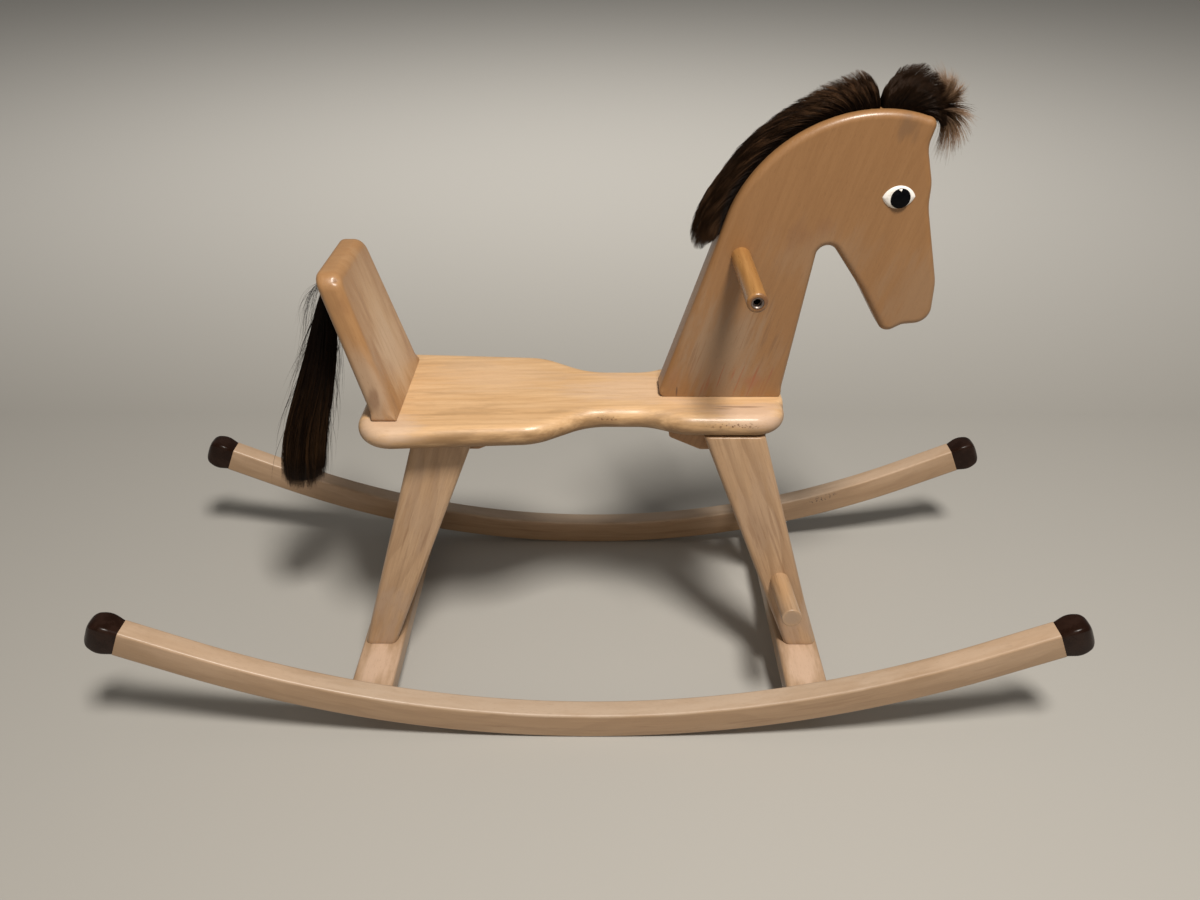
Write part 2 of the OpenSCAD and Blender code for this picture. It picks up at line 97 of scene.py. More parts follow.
lamp("lamp_overhead", (0.42, -0.95, 2.35), (0, 0, 0.25), 0.45, 63, (1.0, 0.95, 0.88))
lamp("lamp_front", (-0.5, -2.4, 1.3), (0, 0, 0.3), 1.6, 5, (1.0, 0.80, 0.56))
lamp("lamp_backdrop", (0, 0.5, 3.2), (0, 1.5, 3.2), 1.5, 290, (1.0, 0.97, 0.93))

world = bpy.data.worlds.new("even_room")
world.use_nodes = True
room_light = world.node_tree.nodes["Background"].inputs
room_light["Color"].default_value = (0.90, 0.87, 0.82, 1)
room_light["Strength"].default_value = 0.19
bpy.context.scene.world = world
bpy.context.scene.view_settings.view_transform = "Standard"

floor_half = 30.0
floor_corners = [(x * floor_half, y * floor_half, 0) for x, y in ((-1, -1), (1, -1), (1, 1), (-1, 1))]
floor_mesh = bpy.data.meshes.new("floor")
floor_mesh.from_pydata(floor_corners, [], [(0, 1, 2, 3)])
floor = bpy.data.objects.new("floor", floor_mesh)
bpy.context.scene.collection.objects.link(floor)
floor_paint = bpy.data.materials.new("floor_paint")
floor_paint.use_nodes = True
floor_skin = floor_paint.node_tree.nodes["Principled BSDF"].inputs
floor_skin["Base Color"].default_value = (0.44, 0.425, 0.395, 1)
floor_skin["Roughness"].default_value = 0.7
floor_mesh.materials.append(floor_paint)
print("lamps:", ", ".join(light.name for light in bpy.data.lights))

# %% [markdown]
# ## From rings to a closed mesh
#
# Almost every piece here is a skin over rings: a closed curve that moves, grows and shrinks. A ring
# has its points along `u`, and the rings follow each other along `v`. Blender could loft or sweep
# this too, but with the points as one array the whole surface is a formula, and a change of size
# changes all of it. The two end rings are closed with one flat face each. The sign of the volume
# says whether the faces look outward, and if not, they are turned.


# %% Skin over rings
def skin(rings):
    """Points and faces of the closed surface over rings[v, u]: a quad between each pair of
    neighbours, u going round, and one face over the first and one over the last ring."""
    rings = np.asarray(rings, float)
    count_v, count_u = rings.shape[:2]
    here = np.arange(count_v * count_u).reshape(count_v, count_u)
    after = np.roll(here, -1, axis=1)
    quads = np.stack([here[:-1], after[:-1], after[1:], here[1:]], -1).reshape(-1, 4)
    points = rings.reshape(-1, 3)
    p, q, r, s = (points[quads[:, i]] for i in range(4))
    middle = points.mean(0)
    volume = np.einsum("ij,ij->", p - middle, np.cross(q - middle, r - middle))
    volume += np.einsum("ij,ij->", p - middle, np.cross(r - middle, s - middle))
    faces = quads.tolist() + [here[0][::-1].tolist(), here[-1].tolist()]
    if volume < 0:
        faces = [face[::-1] for face in faces]
    return points, faces


def piece(name, rings, finish, body, stands_for=(), crease=35, bent=None):
    """A closed piece over rings that rides on a body and stands for CAD nodes. Edges that turn more
    than crease degrees stay sharp. bent, if given, turns the points into the places that the wood's
    pattern is read at."""
    points, faces = skin(rings)
    mesh = bpy.data.meshes.new(name)
    mesh.from_pydata(points.tolist(), [], faces)
    mesh.shade_smooth()
    mesh.set_sharp_from_angle(angle=math.radians(crease))
    mesh.materials.append(finish)
    if bent is not None:
        places = mesh.attributes.new("bent", "FLOAT_VECTOR", "POINT")
        places.data.foreach_set("vector", bent(points).ravel())
    made = bpy.data.objects.new(name, mesh)
    bpy.context.scene.collection.objects.link(made)
    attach(made, body)
    if stands_for:
        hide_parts(*stands_for)
    print(f"{name}: {len(points)} points, {len(faces)} faces")
    return made


# %% [markdown]
# ## Outlines
#
# A board starts as an outline drawn with a few corners, each with its own radius, the way a maker
# marks it out with a straightedge and coins. `rounded` turns each corner into its arc: the arc's
# centre lies on the corner's bisector, at the radius over the sine of half the corner's angle.
# `evenly` then spaces the points out evenly, so that all the quads on the board are about one size.


# %% Rounded corners and even spacing
def arc(centre, radius, start, end, step=0.0015):
    """Points on a circle round centre from start to end, in degrees, about step apart."""
    count = max(6, math.ceil(abs(radius * math.radians(end - start)) / step))
    turn = np.radians(np.linspace(start, end, count))
    return np.asarray(centre) + radius * np.stack([np.cos(turn), np.sin(turn)], -1)


def corner_arc(before, corner, after, radius):
    """The arc of that radius that touches both sides of a corner: its centre is radius over the
    sine of half the corner's angle away. A corner that is nearly straight stays one point."""
    u = (before - corner) / np.linalg.norm(before - corner)
    v = (after - corner) / np.linalg.norm(after - corner)
    half = math.acos(float(np.clip(u @ v, -1, 1))) / 2
    if radius == 0 or half > math.radians(89.9):
        return corner[None]
    centre = corner + (u + v) / np.linalg.norm(u + v) * radius / math.sin(half)
    first = corner + u * radius / math.tan(half) - centre
    last = corner + v * radius / math.tan(half) - centre
    start = math.degrees(math.atan2(first[1], first[0]))
    turn = (math.degrees(math.atan2(last[1], last[0])) - start + 540) % 360 - 180
    return arc(centre, radius, start, start + turn)


def rounded(corners):
    """A closed outline of corners (x, y, radius), each turned into its arc."""
    corners = np.asarray(corners, float)
    places = corners[:, :2]
    return np.concatenate([
        corner_arc(places[i - 1], places[i], places[(i + 1) % len(places)], corners[i, 2])
        for i in range(len(places))])


def evenly(outline, step):
    """A closed outline again, anticlockwise, with its points about step apart along it."""
    closed = np.vstack([outline, outline[:1]])
    area = (closed[:-1, 0] * closed[1:, 1] - closed[1:, 0] * closed[:-1, 1]).sum()
    closed = closed if area > 0 else closed[::-1]
    reach = np.concatenate([[0], np.cumsum(np.linalg.norm(np.diff(closed, axis=0), axis=1))])
    marks = np.linspace(0, reach[-1], math.ceil(reach[-1] / step), endpoint=False)
    return np.stack([np.interp(marks, reach, closed[:, i]) for i in (0, 1)], -1)


# %% [markdown]
# ## A board with rounded-over edges
#
# A router with a rounding bit gives each edge a quarter circle. So the ring at angle `a` of that
# quarter is the outline moved inward by `radius * (1 - sin a)`, at a depth of
# `radius * (1 - cos a)` below the face. Where a board stands on another one its edge isn't
# rounded, so each outline point has a share, from 0 to 1, of the radius. Bevel modifiers could
# do this on a plain board, but they fail where a corner is tighter than the bit.


# %% Board rings
def board_rings(outline, thickness, radius, place, share=1.0, steps=8, rim=0.0015):
    """rings[v, u] of a board: outline[u] moved inward by share * radius * (1 - sin a) and lying
    share * radius * (1 - cos a) below each face, and place turns (x, y, depth) into the frame."""
    ahead = np.roll(outline, -1, axis=0) - np.roll(outline, 1, axis=0)
    ahead /= np.linalg.norm(ahead, axis=1, keepdims=True)
    inward = np.stack([-ahead[:, 1], ahead[:, 0]], -1)
    share = np.broadcast_to(share, len(outline))
    a = np.linspace(0, math.pi / 2, steps)[:, None]
    inset = np.concatenate([share * radius + rim * np.ones((1, 1)), share * radius * (1 - np.sin(a))])
    below = np.concatenate([np.zeros((1, len(outline))), share * radius * (1 - np.cos(a))])
    inset = np.concatenate([inset, inset[::-1]])
    depth = np.concatenate([below, thickness - below[::-1]])
    flat = outline[None] + inset[..., None] * inward[None]
    return place(flat[..., 0], flat[..., 1], depth)


# %% [markdown]
# ## Varnished wood
#
# The boards are pine and the runners beech, all under a clear varnish that has yellowed. Where
# hands, trousers and shoes rub, the varnish is thinner: the wood there is paler, pinker and duller.
# A picture of wood would stretch round the edges, so the wood is a solid pattern instead: noise
# stretched along the grain, growth rings as a wave, short dark flecks, and soft spots of wear at
# named places. A few spots are painted shade and a painted shadow instead of wear or stain: the dark
# lower edge of the seat, and the forelock's shadow on the forehead. All of it reads Object
# coordinates, and as every piece is at the origin, those are the frame's own metres.


# %% A short way to write a material
class Recipe:
    """A material that is being written, with one short call for each kind of node."""

    def __init__(self, name):
        self.material = bpy.data.materials.new(name)
        self.material.use_nodes = True
        self.nodes = self.material.node_tree.nodes
        self.links = self.material.node_tree.links
        self.shader = self.nodes["Principled BSDF"]
        self.object_at = self.node("ShaderNodeTexCoord").outputs["Object"]

    def put(self, socket, value):
        """Links an output to a socket, or sets the socket to a value."""
        if isinstance(value, bpy.types.NodeSocket):
            self.links.new(value, socket)
        elif isinstance(value, tuple) and len(value) == 3 and socket.type == "RGBA":
            socket.default_value = (*value, 1)
        else:
            socket.default_value = value

    def node(self, kind, inputs=(), **settings):
        """A node with its settings, and its inputs given as pairs of name or number and value."""
        made = self.nodes.new(kind)
        for key, value in settings.items():
            setattr(made, key, value)
        for key, value in inputs:
            self.put(made.inputs[key], value)
        return made

    def moved(self, at, scale=(1, 1, 1), turn=(0, 0, 0), place=(0, 0, 0), kind="POINT"):
        """Coordinates scaled, turned and moved."""
        pairs = (("Vector", at), ("Scale", scale), ("Rotation", turn), ("Location", place))
        return self.node("ShaderNodeMapping", pairs, vector_type=kind).outputs[0]

    def noise(self, at, detail=3.0, rough=0.55, distortion=0.0):
        """Soft noise, mostly between 0.3 and 0.7."""
        pairs = (("Vector", at), ("Scale", 1.0), ("Detail", detail), ("Roughness", rough),
                 ("Distortion", distortion))
        return self.node("ShaderNodeTexNoise", pairs).outputs[0]

    def span(self, value, low, high, to_low=0.0, to_high=1.0):
        """The value carried from low..high to to_low..to_high, smoothly, and no further."""
        pairs = (("Value", value), ("From Min", low), ("From Max", high), ("To Min", to_low),
                 ("To Max", to_high))
        return self.node("ShaderNodeMapRange", pairs, interpolation_type="SMOOTHSTEP").outputs[0]

    def sum(self, operation, a, b):
        """One sum of two values, such as MULTIPLY or ADD."""
        return self.node("ShaderNodeMath", ((0, a), (1, b)), operation=operation).outputs[0]

    def mix(self, share, a, b, blend="MIX"):
        """Colour a turned toward colour b."""
        pairs = ((0, share), (6, a), (7, b))
        made = self.node("ShaderNodeMix", pairs, data_type="RGBA", blend_type=blend)
        return made.outputs[2]

    def spot(self, centre, size, rag, ragged=0.5):
        """A soft spot: 1 at centre and 0 at size from it. Its rim is moved in and out by the noise
        rag, by up to ragged."""
        near = self.moved(self.object_at, scale=size, place=centre, kind="TEXTURE")
        far = self.node("ShaderNodeVectorMath", ((0, near),), operation="LENGTH").outputs["Value"]
        return self.span(self.sum("ADD", far, self.span(rag, 0.3, 0.7, -ragged, ragged)), 1.0, 0.2)

    def bump(self, height, depth):
        """Relief of that depth in metres, from a height between 0 and 1."""
        pairs = (("Height", height), ("Distance", depth), ("Strength", 1.0))
        self.put(self.shader.inputs["Normal"], self.node("ShaderNodeBump", pairs).outputs[0])


# %% The wood
WAVE_SCALE = 0.314  # a wave texture of scale 1 has its bands pi / 10 apart


def wood(name, grain, tones, rings=0.35, ring_gap=0.006, wear_and_shade=(), stains_and_shadows=(), streaks=(), bruises=(),
         gloss=0.38, seed=0.0, bent=False, figure=1.0, ragged=0.75):
    """Varnished wood with its grain along the direction grain. tones are the pale, middle and dark
    colour. The growth rings lie ring_gap apart round an axis beside the board. wear_and_shade,
    stains_and_shadows, streaks and bruises are lists of (centre, size, colour, strength): soft patches
    of wear and of painted shade stretched along the grain, soft spots of stain and of painted shadow,
    fine dark lines along the grain, and small specks. figure is how much the bands show, and ragged
    how rough the rims of the wear_and_shade patches are. With bent, the pattern reads the piece's own
    map instead of the frame's metres."""
    r = Recipe(name)
    if bent:
        r.object_at = r.node("ShaderNodeAttribute", attribute_name="bent").outputs["Vector"]
    pale, middle, dark = tones
    turn = Vector(grain).rotation_difference(Vector((1, 0, 0))).to_euler()
    along = r.moved(r.object_at, turn=tuple(turn), place=(seed, seed * 0.7, seed * 0.3))
    bands = r.noise(r.moved(along, scale=(5, 55, 55)), 5, 0.6, 0.4)
    fibres = r.noise(r.moved(along, scale=(24, 520, 520)), 3, 0.6)
    blotches = r.noise(r.moved(along, scale=(7, 16, 16)), 3)
    rag = r.noise(r.moved(along, scale=(16, 75, 75)), 4, 0.6)
    warp = r.span(r.noise(r.moved(along, scale=(4, 11, 11)), 2), 0.3, 0.7, -1.0, 1.0)
    beside = r.moved(along, place=(0, 0.11, 0.055))
    wave_pairs = (("Vector", beside), ("Scale", WAVE_SCALE / ring_gap), ("Distortion", 1.6),
                  ("Detail", 2.0), ("Detail Scale", 0.5), ("Phase Offset", r.sum("MULTIPLY", warp, 5.0)))
    wave = r.node("ShaderNodeTexWave", wave_pairs, wave_type="RINGS", rings_direction="X",
                  wave_profile="SAW").outputs[1]
    wave = r.sum("MULTIPLY", r.span(wave, 0.35, 0.92), r.span(wave, 1.0, 0.93))
    flecks = r.span(r.noise(r.moved(along, scale=(130, 1500, 1500)), 2), 0.60, 0.70)
    lines = r.span(r.noise(r.moved(along, scale=(14, 300, 300)), 3, 0.6), 0.53, 0.63)
    specks = r.span(r.noise(r.moved(r.object_at, scale=(420, 420, 420)), 2), 0.55, 0.62)

    colour = r.mix(r.span(bands, 0.34, 0.66, 0.5 - figure / 2, 0.5 + figure / 2), middle, pale)
    colour = r.mix(r.span(blotches, 0.38, 0.62, 0.0, 0.35), colour, middle)
    colour = r.mix(r.sum("MULTIPLY", wave, rings), colour, dark)
    colour = r.mix(r.span(fibres, 0.60, 0.40, 0.0, 0.08 + 0.14 * figure), colour, dark)
    rough = r.span(fibres, 0.3, 0.7, gloss - 0.05, gloss + 0.07)
    for centre, size, tint, strength in wear_and_shade:
        share = r.sum("MULTIPLY", r.spot(centre, size, rag, ragged), strength)
        colour = r.mix(share, colour, tint)
        rough = r.sum("ADD", rough, r.sum("MULTIPLY", share, 0.14))
    for kind, marks in ((lines, streaks), (specks, bruises), (None, stains_and_shadows)):
        for centre, size, tint, strength in marks:
            share = r.sum("MULTIPLY", r.spot(centre, size, rag, 0.4), strength)
            if kind is not None:
                share = r.sum("MULTIPLY", share, kind)
            colour = r.mix(share, colour, tint)
    colour = r.mix(r.sum("MULTIPLY", flecks, 0.28), colour, dark)
    r.put(r.shader.inputs["Base Color"], colour)
    r.put(r.shader.inputs["Roughness"], rough)
    r.shader.inputs["Coat Weight"].default_value = 0.18
    r.shader.inputs["Coat Roughness"].default_value = 0.20
    pore_relief = 0.00010
    r.bump(r.sum("ADD", fibres, r.sum("MULTIPLY", flecks, -0.6)), pore_relief)
    return r.material


# %% Colours of the woods: each tone is the pale, the middle and the dark colour of the grain
worn_grey = (0.40, 0.275, 0.19)
streak_brown = (0.20, 0.10, 0.045)
red_brown = (0.30, 0.10, 0.045)
bruise_brown = (0.17, 0.085, 0.04)
head_worn = (0.300, 0.195, 0.118)
board_tones = ((0.42, 0.235, 0.105), (0.36, 0.185, 0.075), (0.24, 0.115, 0.045))
head_tones = ((0.325, 0.170, 0.070), (0.275, 0.138, 0.054), (0.190, 0.090, 0.035))
seat_tones = ((0.74, 0.50, 0.285), (0.64, 0.395, 0.195), (0.42, 0.23, 0.10))
leg_tones = ((0.50, 0.335, 0.205), (0.42, 0.265, 0.15), (0.26, 0.15, 0.078))
runner_tones = ((0.44, 0.295, 0.180), (0.38, 0.242, 0.140), (0.27, 0.165, 0.092))
dowel_tones = ((0.44, 0.232, 0.080), (0.36, 0.172, 0.050), (0.24, 0.105, 0.030))
print("woods: board, head, seat, leg, runner and dowel, three tones each")

# %% [markdown]
# ## The seat
#
# The seat is one board with a waist for the rider's legs. Its edge is rounded from both faces until
# the two quarter circles meet, which makes a full half round. Years of shoe buckles have left a row
# of small dents in the edge under the neck and at the waist. They are real dents here: each is a
# small bowl, so the points near it move inward by a bell curve of their distance to it.

# %% Seat sizes and outline
seat_low, seat_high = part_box("seat_board")
seat_top = seat_high.z
seat_thick = seat_high.z - seat_low.z
seat_rear, seat_front = seat_low.x, seat_high.x
seat_side = [
    (seat_rear, 0.089, 0.036), (-0.050, 0.0785, 0.060), (0.0, 0.045, 0.060),
    (0.058, 0.045, 0.050), (0.092, 0.0605, 0.050), (seat_front, 0.0605, 0.032)]
seat_corners = seat_side + [(x, -y, r) for x, y, r in seat_side[::-1]]
print(f"seat: {seat_front - seat_rear:.3f} m long, {seat_thick:.3f} m thick, top at {seat_top:.3f} m")


def dented(rings, dents, size, depth):
    """rings with a small bowl at each dent: points move toward the middle of the board by depth
    times exp(-(distance / size) squared)."""
    points = rings.reshape(-1, 1, 3)
    distance = np.linalg.norm(points - np.asarray(dents)[None], axis=-1)
    bowl = (depth * np.exp(-((distance / size) ** 2))).sum(-1)
    middle = rings.mean((0, 1))
    inward = middle - rings.reshape(-1, 3)
    inward /= np.linalg.norm(inward, axis=1, keepdims=True)
    return (rings.reshape(-1, 3) + inward * bowl[:, None]).reshape(rings.shape)


# %% Seat
front_dents = [(x, -0.0600, seat_top - 0.0085 + dz) for x, dz in (
    (0.112, 0), (0.121, -0.001), (0.131, 0.0005), (0.139, -0.002), (0.149, 0), (0.158, -0.001),
    (0.165, 0))]
waist_dents = [(x, -0.0450, seat_top - 0.008) for x in (0.012, 0.018, 0.0225, 0.029)]
seat_wood = wood(
    "seat_wood", (1, 0.03, 0), seat_tones, rings=0.22, ring_gap=0.0075, seed=1.3, figure=0.8, ragged=0.3,
    # The first patch is painted shade, not wear: it darkens the lower half of the seat's edge and its
    # underside.
    wear_and_shade=[((0.0, 0.0, seat_low.z), (3.0, 3.0, 0.0235), (0.27, 0.155, 0.068), 1.0),
          ((0.05, 0.0, seat_top), (0.10, 0.05, 0.03), (0.66, 0.46, 0.31), 0.6),
          ((-0.20, -0.075, seat_top), (0.05, 0.03, 0.03), (0.66, 0.47, 0.33), 0.7),
          ((0.16, -0.05, seat_top), (0.06, 0.03, 0.02), (0.60, 0.42, 0.30), 0.8),
          ((-0.10, 0.03, seat_top), (0.09, 0.05, 0.03), (0.70, 0.48, 0.30), 0.5)],
    streaks=[((0.0, 0.0, seat_top), (0.20, 0.09, 0.03), (0.50, 0.30, 0.14), 0.35),
             ((0.0, 0.0, seat_low.z), (0.30, 0.12, 0.02), (0.40, 0.22, 0.10), 0.5)],
    bruises=[((0.138, -0.060, seat_top - 0.0085), (0.036, 0.006, 0.0045), bruise_brown, 0.95),
             ((0.021, -0.045, seat_top - 0.0080), (0.016, 0.006, 0.0040), bruise_brown, 0.95)],
    stains_and_shadows=[((0.150, -0.036, seat_top), (0.024, 0.0022, 0.01), bruise_brown, 0.55),
            ((0.132, -0.040, seat_top), (0.012, 0.0014, 0.01), bruise_brown, 0.45)])
seat_outline = evenly(rounded(seat_corners), 0.0012)
under_neck = np.clip((0.026 - np.abs(seat_outline[:, 1])) / 0.008, 0, 1) * (seat_outline[:, 0] > 0.15)
seat_rings = board_rings(
    seat_outline, seat_thick, seat_thick / 2 - 0.0004,
    lambda x, y, depth: np.stack([x, y, seat_top - depth], -1), 1 - 0.7 * under_neck, steps=12)
dent_size, dent_depth = 0.0016, 0.0008
seat_rings = dented(seat_rings, front_dents + waist_dents, dent_size, dent_depth)
piece("seat", seat_rings, seat_wood, "horse", ["seat_board"])

# %% [markdown]
# ## The backrest
#
# The backrest is a board that leans back and stands on the seat with a level foot. So its outline is
# drawn in its leaning face, and its thickness is laid off level, which cuts the foot level too. The
# edge is rounded at the sides and the top, and the rounding fades out over the last centimetre
# above the seat.

# %% Backrest
back_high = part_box("backrest")[1]
back_lean = math.radians(15)
back_thick = 0.023 / math.cos(back_lean)
back_foot = -0.186
back_tall = (back_high.z - seat_top) / math.cos(back_lean)
back_foot_half, back_top_half = 0.067, 0.055
back_outline = evenly(rounded([
    (-back_foot_half, 0, 0.003), (back_foot_half, 0, 0.003), (back_top_half, back_tall, 0.0155),
    (-back_top_half, back_tall, 0.0155)]), 0.0016)


def fade_in(height, reach, least=0.08):
    """A share that grows smoothly from least at height 0 to 1 at reach."""
    t = np.clip(height / reach, 0, 1)
    return least + (1 - least) * t * t * (3 - 2 * t)


def on_backrest(across, up, depth):
    """A place on the backrest: up runs along the lean, and depth is level, toward the rear."""
    x = back_foot - up * math.sin(back_lean) - depth
    return np.stack([x, across, seat_top + up * math.cos(back_lean)], -1)


corner_chip = [(-0.2290, -0.0515, 0.4600), (-0.2265, -0.0500, 0.4605)]
backrest_wood = wood(
    "backrest_wood", (-0.26, 0, 0.97), board_tones, rings=0.10, ring_gap=0.011, seed=4.1,
    figure=0.4, ragged=0.22,
    wear_and_shade=[((-0.195, 0.008, 0.39), (0.045, 0.068, 0.13), (0.56, 0.37, 0.215), 0.9),
          ((-0.197, -0.004, 0.37), (0.04, 0.050, 0.05), (0.58, 0.42, 0.28), 0.8),
          ((-0.200, -0.066, 0.36), (0.04, 0.022, 0.06), (0.42, 0.285, 0.185), 0.85)],
    streaks=[((-0.200, -0.02, 0.36), (0.05, 0.06, 0.06), (0.36, 0.21, 0.12), 0.3)],
    stains_and_shadows=[((-0.205, -0.064, 0.345), (0.007, 0.010, 0.014), (0.24, 0.135, 0.075), 0.7),
            ((-0.219, -0.060, 0.440), (0.012, 0.010, 0.014), (0.28, 0.14, 0.06), 0.5),
            ((-0.191, -0.052, 0.336), (0.008, 0.006, 0.016), (0.27, 0.14, 0.07), 0.6),
            ((-0.200, -0.020, 0.350), (0.010, 0.010, 0.020), (0.33, 0.17, 0.08), 0.4),
            ((-0.2285, -0.051, 0.4600), (0.006, 0.004, 0.003), (0.20, 0.09, 0.03), 0.8)])
back_rounding, fade_length = 0.008, 0.012
back_rings = board_rings(back_outline, back_thick, back_rounding, on_backrest,
                         fade_in(back_outline[:, 1], fade_length))
chip_size, chip_depth = 0.0022, 0.0012
piece("backrest_board", dented(back_rings, corner_chip, chip_size, chip_depth), backrest_wood, "horse",
      ["backrest"])

# %% [markdown]
# ## The head board
#
# The neck's rear edge runs straight into the crest, which is an arc of one circle. The face, the
# jaw and the throat are corners with radii, measured from the crest's centre. The grain follows the
# neck, as it must, or the neck would snap. The varnish is worn where a child holds on.

# %% Head board
head_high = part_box("head_board")[1]
head_half = head_high.y
crest_r = 0.1355
neck_rear = 0.0685
neck_lean = 17.4
neck_foot = 0.1244
crest_z = head_high.z - crest_r
crest_x = neck_rear + crest_r / math.cos(math.radians(neck_lean))
crest_x += (crest_z - seat_top) * math.tan(math.radians(neck_lean))
forehead = (crest_r + 0.0013) * np.array([math.cos(math.radians(70)), math.sin(math.radians(70))])
face_corners = [
    (forehead[0], forehead[1], 0.0075), (forehead[0] - 0.0053, forehead[1] - 0.0235, 0.025),
    (0.051, 0.073, 0.040), (0.052, 0.052, 0.060), (0.0725, -0.020, 0.050), (0.0745, -0.061, 0.016),
    (0.048, -0.0635, 0.010), (0.031, -0.073, 0.010), (0.002, -0.026, 0.080), (-0.0408, 0.0317, 0.010)]
crest_line = arc((crest_x, crest_z), crest_r, 180 - neck_lean, 74)
head_outline = evenly(rounded(
    [(neck_rear + neck_foot, seat_top, 0.004), (neck_rear, seat_top, 0.006)]
    + [(x, z, 0) for x, z in crest_line]
    + [(crest_x + x, crest_z + z, r) for x, z, r in face_corners]), 0.0013)

near = -head_half
head_wood = wood(
    "head_wood", (0.27, 0, 0.96), head_tones, rings=0.0, ring_gap=0.014, seed=7.7, figure=0.4,
    ragged=0.3,
    wear_and_shade=[((0.13, near, 0.37), (0.06, 0.03, 0.085), head_worn, 0.85),
          ((0.13, -near, 0.37), (0.06, 0.03, 0.085), head_worn, 0.85),
          ((0.31, near, 0.43), (0.045, 0.03, 0.06), head_worn, 0.4),
          ((0.215, near, 0.47), (0.06, 0.03, 0.04), head_worn, 0.35)],
    streaks=[((0.172, near, 0.39), (0.030, 0.02, 0.085), streak_brown, 0.55),
             ((0.095, near, 0.36), (0.025, 0.02, 0.045), streak_brown, 0.50),
             ((0.15, near, 0.343), (0.06, 0.02, 0.022), red_brown, 0.75),
             ((0.13, -near, 0.37), (0.06, 0.02, 0.06), streak_brown, 0.6)],
    stains_and_shadows=[((0.163, near, 0.340), (0.013, 0.01, 0.010), red_brown, 0.40),
            ((0.085, near, 0.345), (0.008, 0.01, 0.016), (0.30, 0.14, 0.06), 0.4),
            ((0.0880, near, 0.3270), (0.0012, 0.01, 0.0075), (0.08, 0.04, 0.025), 0.8),
            ((0.192, near, 0.490), (0.020, 0.01, 0.016), (0.22, 0.10, 0.042), 0.35),
            ((0.214, near, 0.500), (0.012, 0.01, 0.012), (0.22, 0.10, 0.05), 0.25),
            # The last one is no stain: it is the forelock's painted shadow on the forehead.
            ((crest_x + 0.021, near, crest_z + 0.121), (0.013, 0.01, 0.016), (0.17, 0.095, 0.05), 0.6)])
head_rounding, least_rounding = 0.0065, 0.12
head_rings = board_rings(
    head_outline, 2 * head_half, head_rounding,
    lambda x, z, depth: np.stack([x, depth - head_half, z], -1),
    fade_in(head_outline[:, 1] - seat_top, fade_length, least_rounding), rim=0.0006)
piece("head", head_rings, head_wood, "horse", ["head_board"])

# %% [markdown]
# ## Rounded bars
#
# Legs, crossbars, battens and runners are all bars whose section is a rectangle with rounded
# corners. `rounded_section` gives that ring from two half sizes and a radius. Each may change along
# the bar, and that is all a taper needs.


# %% Sections and bars
def rounded_section(half_a, half_b, radius, steps=6):
    """ring[v, u] of (a, b): a rectangle of these half sizes, with quarter circles at its corners.
    Each argument is an array over v, or one number."""
    sizes = (np.atleast_1d(x).astype(float) for x in (half_a, half_b, radius))
    half_a, half_b, radius = np.broadcast_arrays(*sizes)
    turn = (np.arange(4)[:, None] * 90 + np.linspace(0, 90, steps)[None]).ravel()
    sign_a = np.repeat([1, -1, -1, 1], steps)
    sign_b = np.repeat([1, 1, -1, -1], steps)
    c, s = np.cos(np.radians(turn)), np.sin(np.radians(turn))
    a = sign_a * (half_a - radius)[:, None] + radius[:, None] * c
    b = sign_b * (half_b - radius)[:, None] + radius[:, None] * s
    return np.stack([a, b], -1)


def end_eased(stations, radius, steps=4):
    """Stations along a bar with its ends eased by a small quarter circle, and how far each ring is
    pulled in there. stations are at least two places along the bar."""
    a = np.linspace(0, math.pi / 2, steps)
    start = stations[0] + radius * (1 - np.sin(a[::-1]))
    pull = radius * (1 - np.cos(a[::-1]))
    body = stations[1:-1]
    places = np.concatenate([start, body, stations[-1] + stations[0] - start[::-1]])
    pulls = np.concatenate([pull, np.zeros(len(body)), pull[::-1]])
    return places, pulls


# %% [markdown]
# ## Legs
#
# A leg is cut level at both ends and leans two ways, so each of its level sections is the same kind
# of rounded rectangle, only wider toward the top and nearer the horse's middle. A large rounding
# leaves just a narrow flat down the outer face.

# %% Legs
leg_low, leg_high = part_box("leg_front_left")
leg_bottom, leg_top = leg_low.z, leg_high.z
leg_foot_y, leg_top_y = 0.0940, 0.058
leg_splay = math.atan((leg_foot_y - leg_top_y) / (leg_top - leg_bottom))
leg_level_t = 0.022 / math.cos(leg_splay)
leg_foot_w, leg_top_w = 0.034, 0.0615
leg_top_middle_x = 0.1135 + leg_top_w / 2
leg_rounding, end_easing = 0.0062, 0.0012
bar_x = 0.228
foot_middle_x = bar_x + 0.0023


def leg_rings(end, side):
    """Level sections up a leg: the middle, the width and the outer face all run in a straight line
    from the foot to the top."""
    z, pull = end_eased(np.linspace(leg_bottom, leg_top, 40), end_easing)
    t = (z - leg_bottom) / (leg_top - leg_bottom)
    middle_x = foot_middle_x + t * (leg_top_middle_x - foot_middle_x)
    width = leg_foot_w + t * (leg_top_w - leg_foot_w)
    outer = leg_foot_y + t * (leg_top_y - leg_foot_y)
    ring = rounded_section(width / 2 - pull, leg_level_t / 2 - pull, leg_rounding, 8)
    x = end * (middle_x[:, None] + ring[..., 0])
    y = side * (outer[:, None] - leg_level_t / 2 + ring[..., 1])
    return np.stack([x, y, np.broadcast_to(z[:, None], x.shape)], -1)


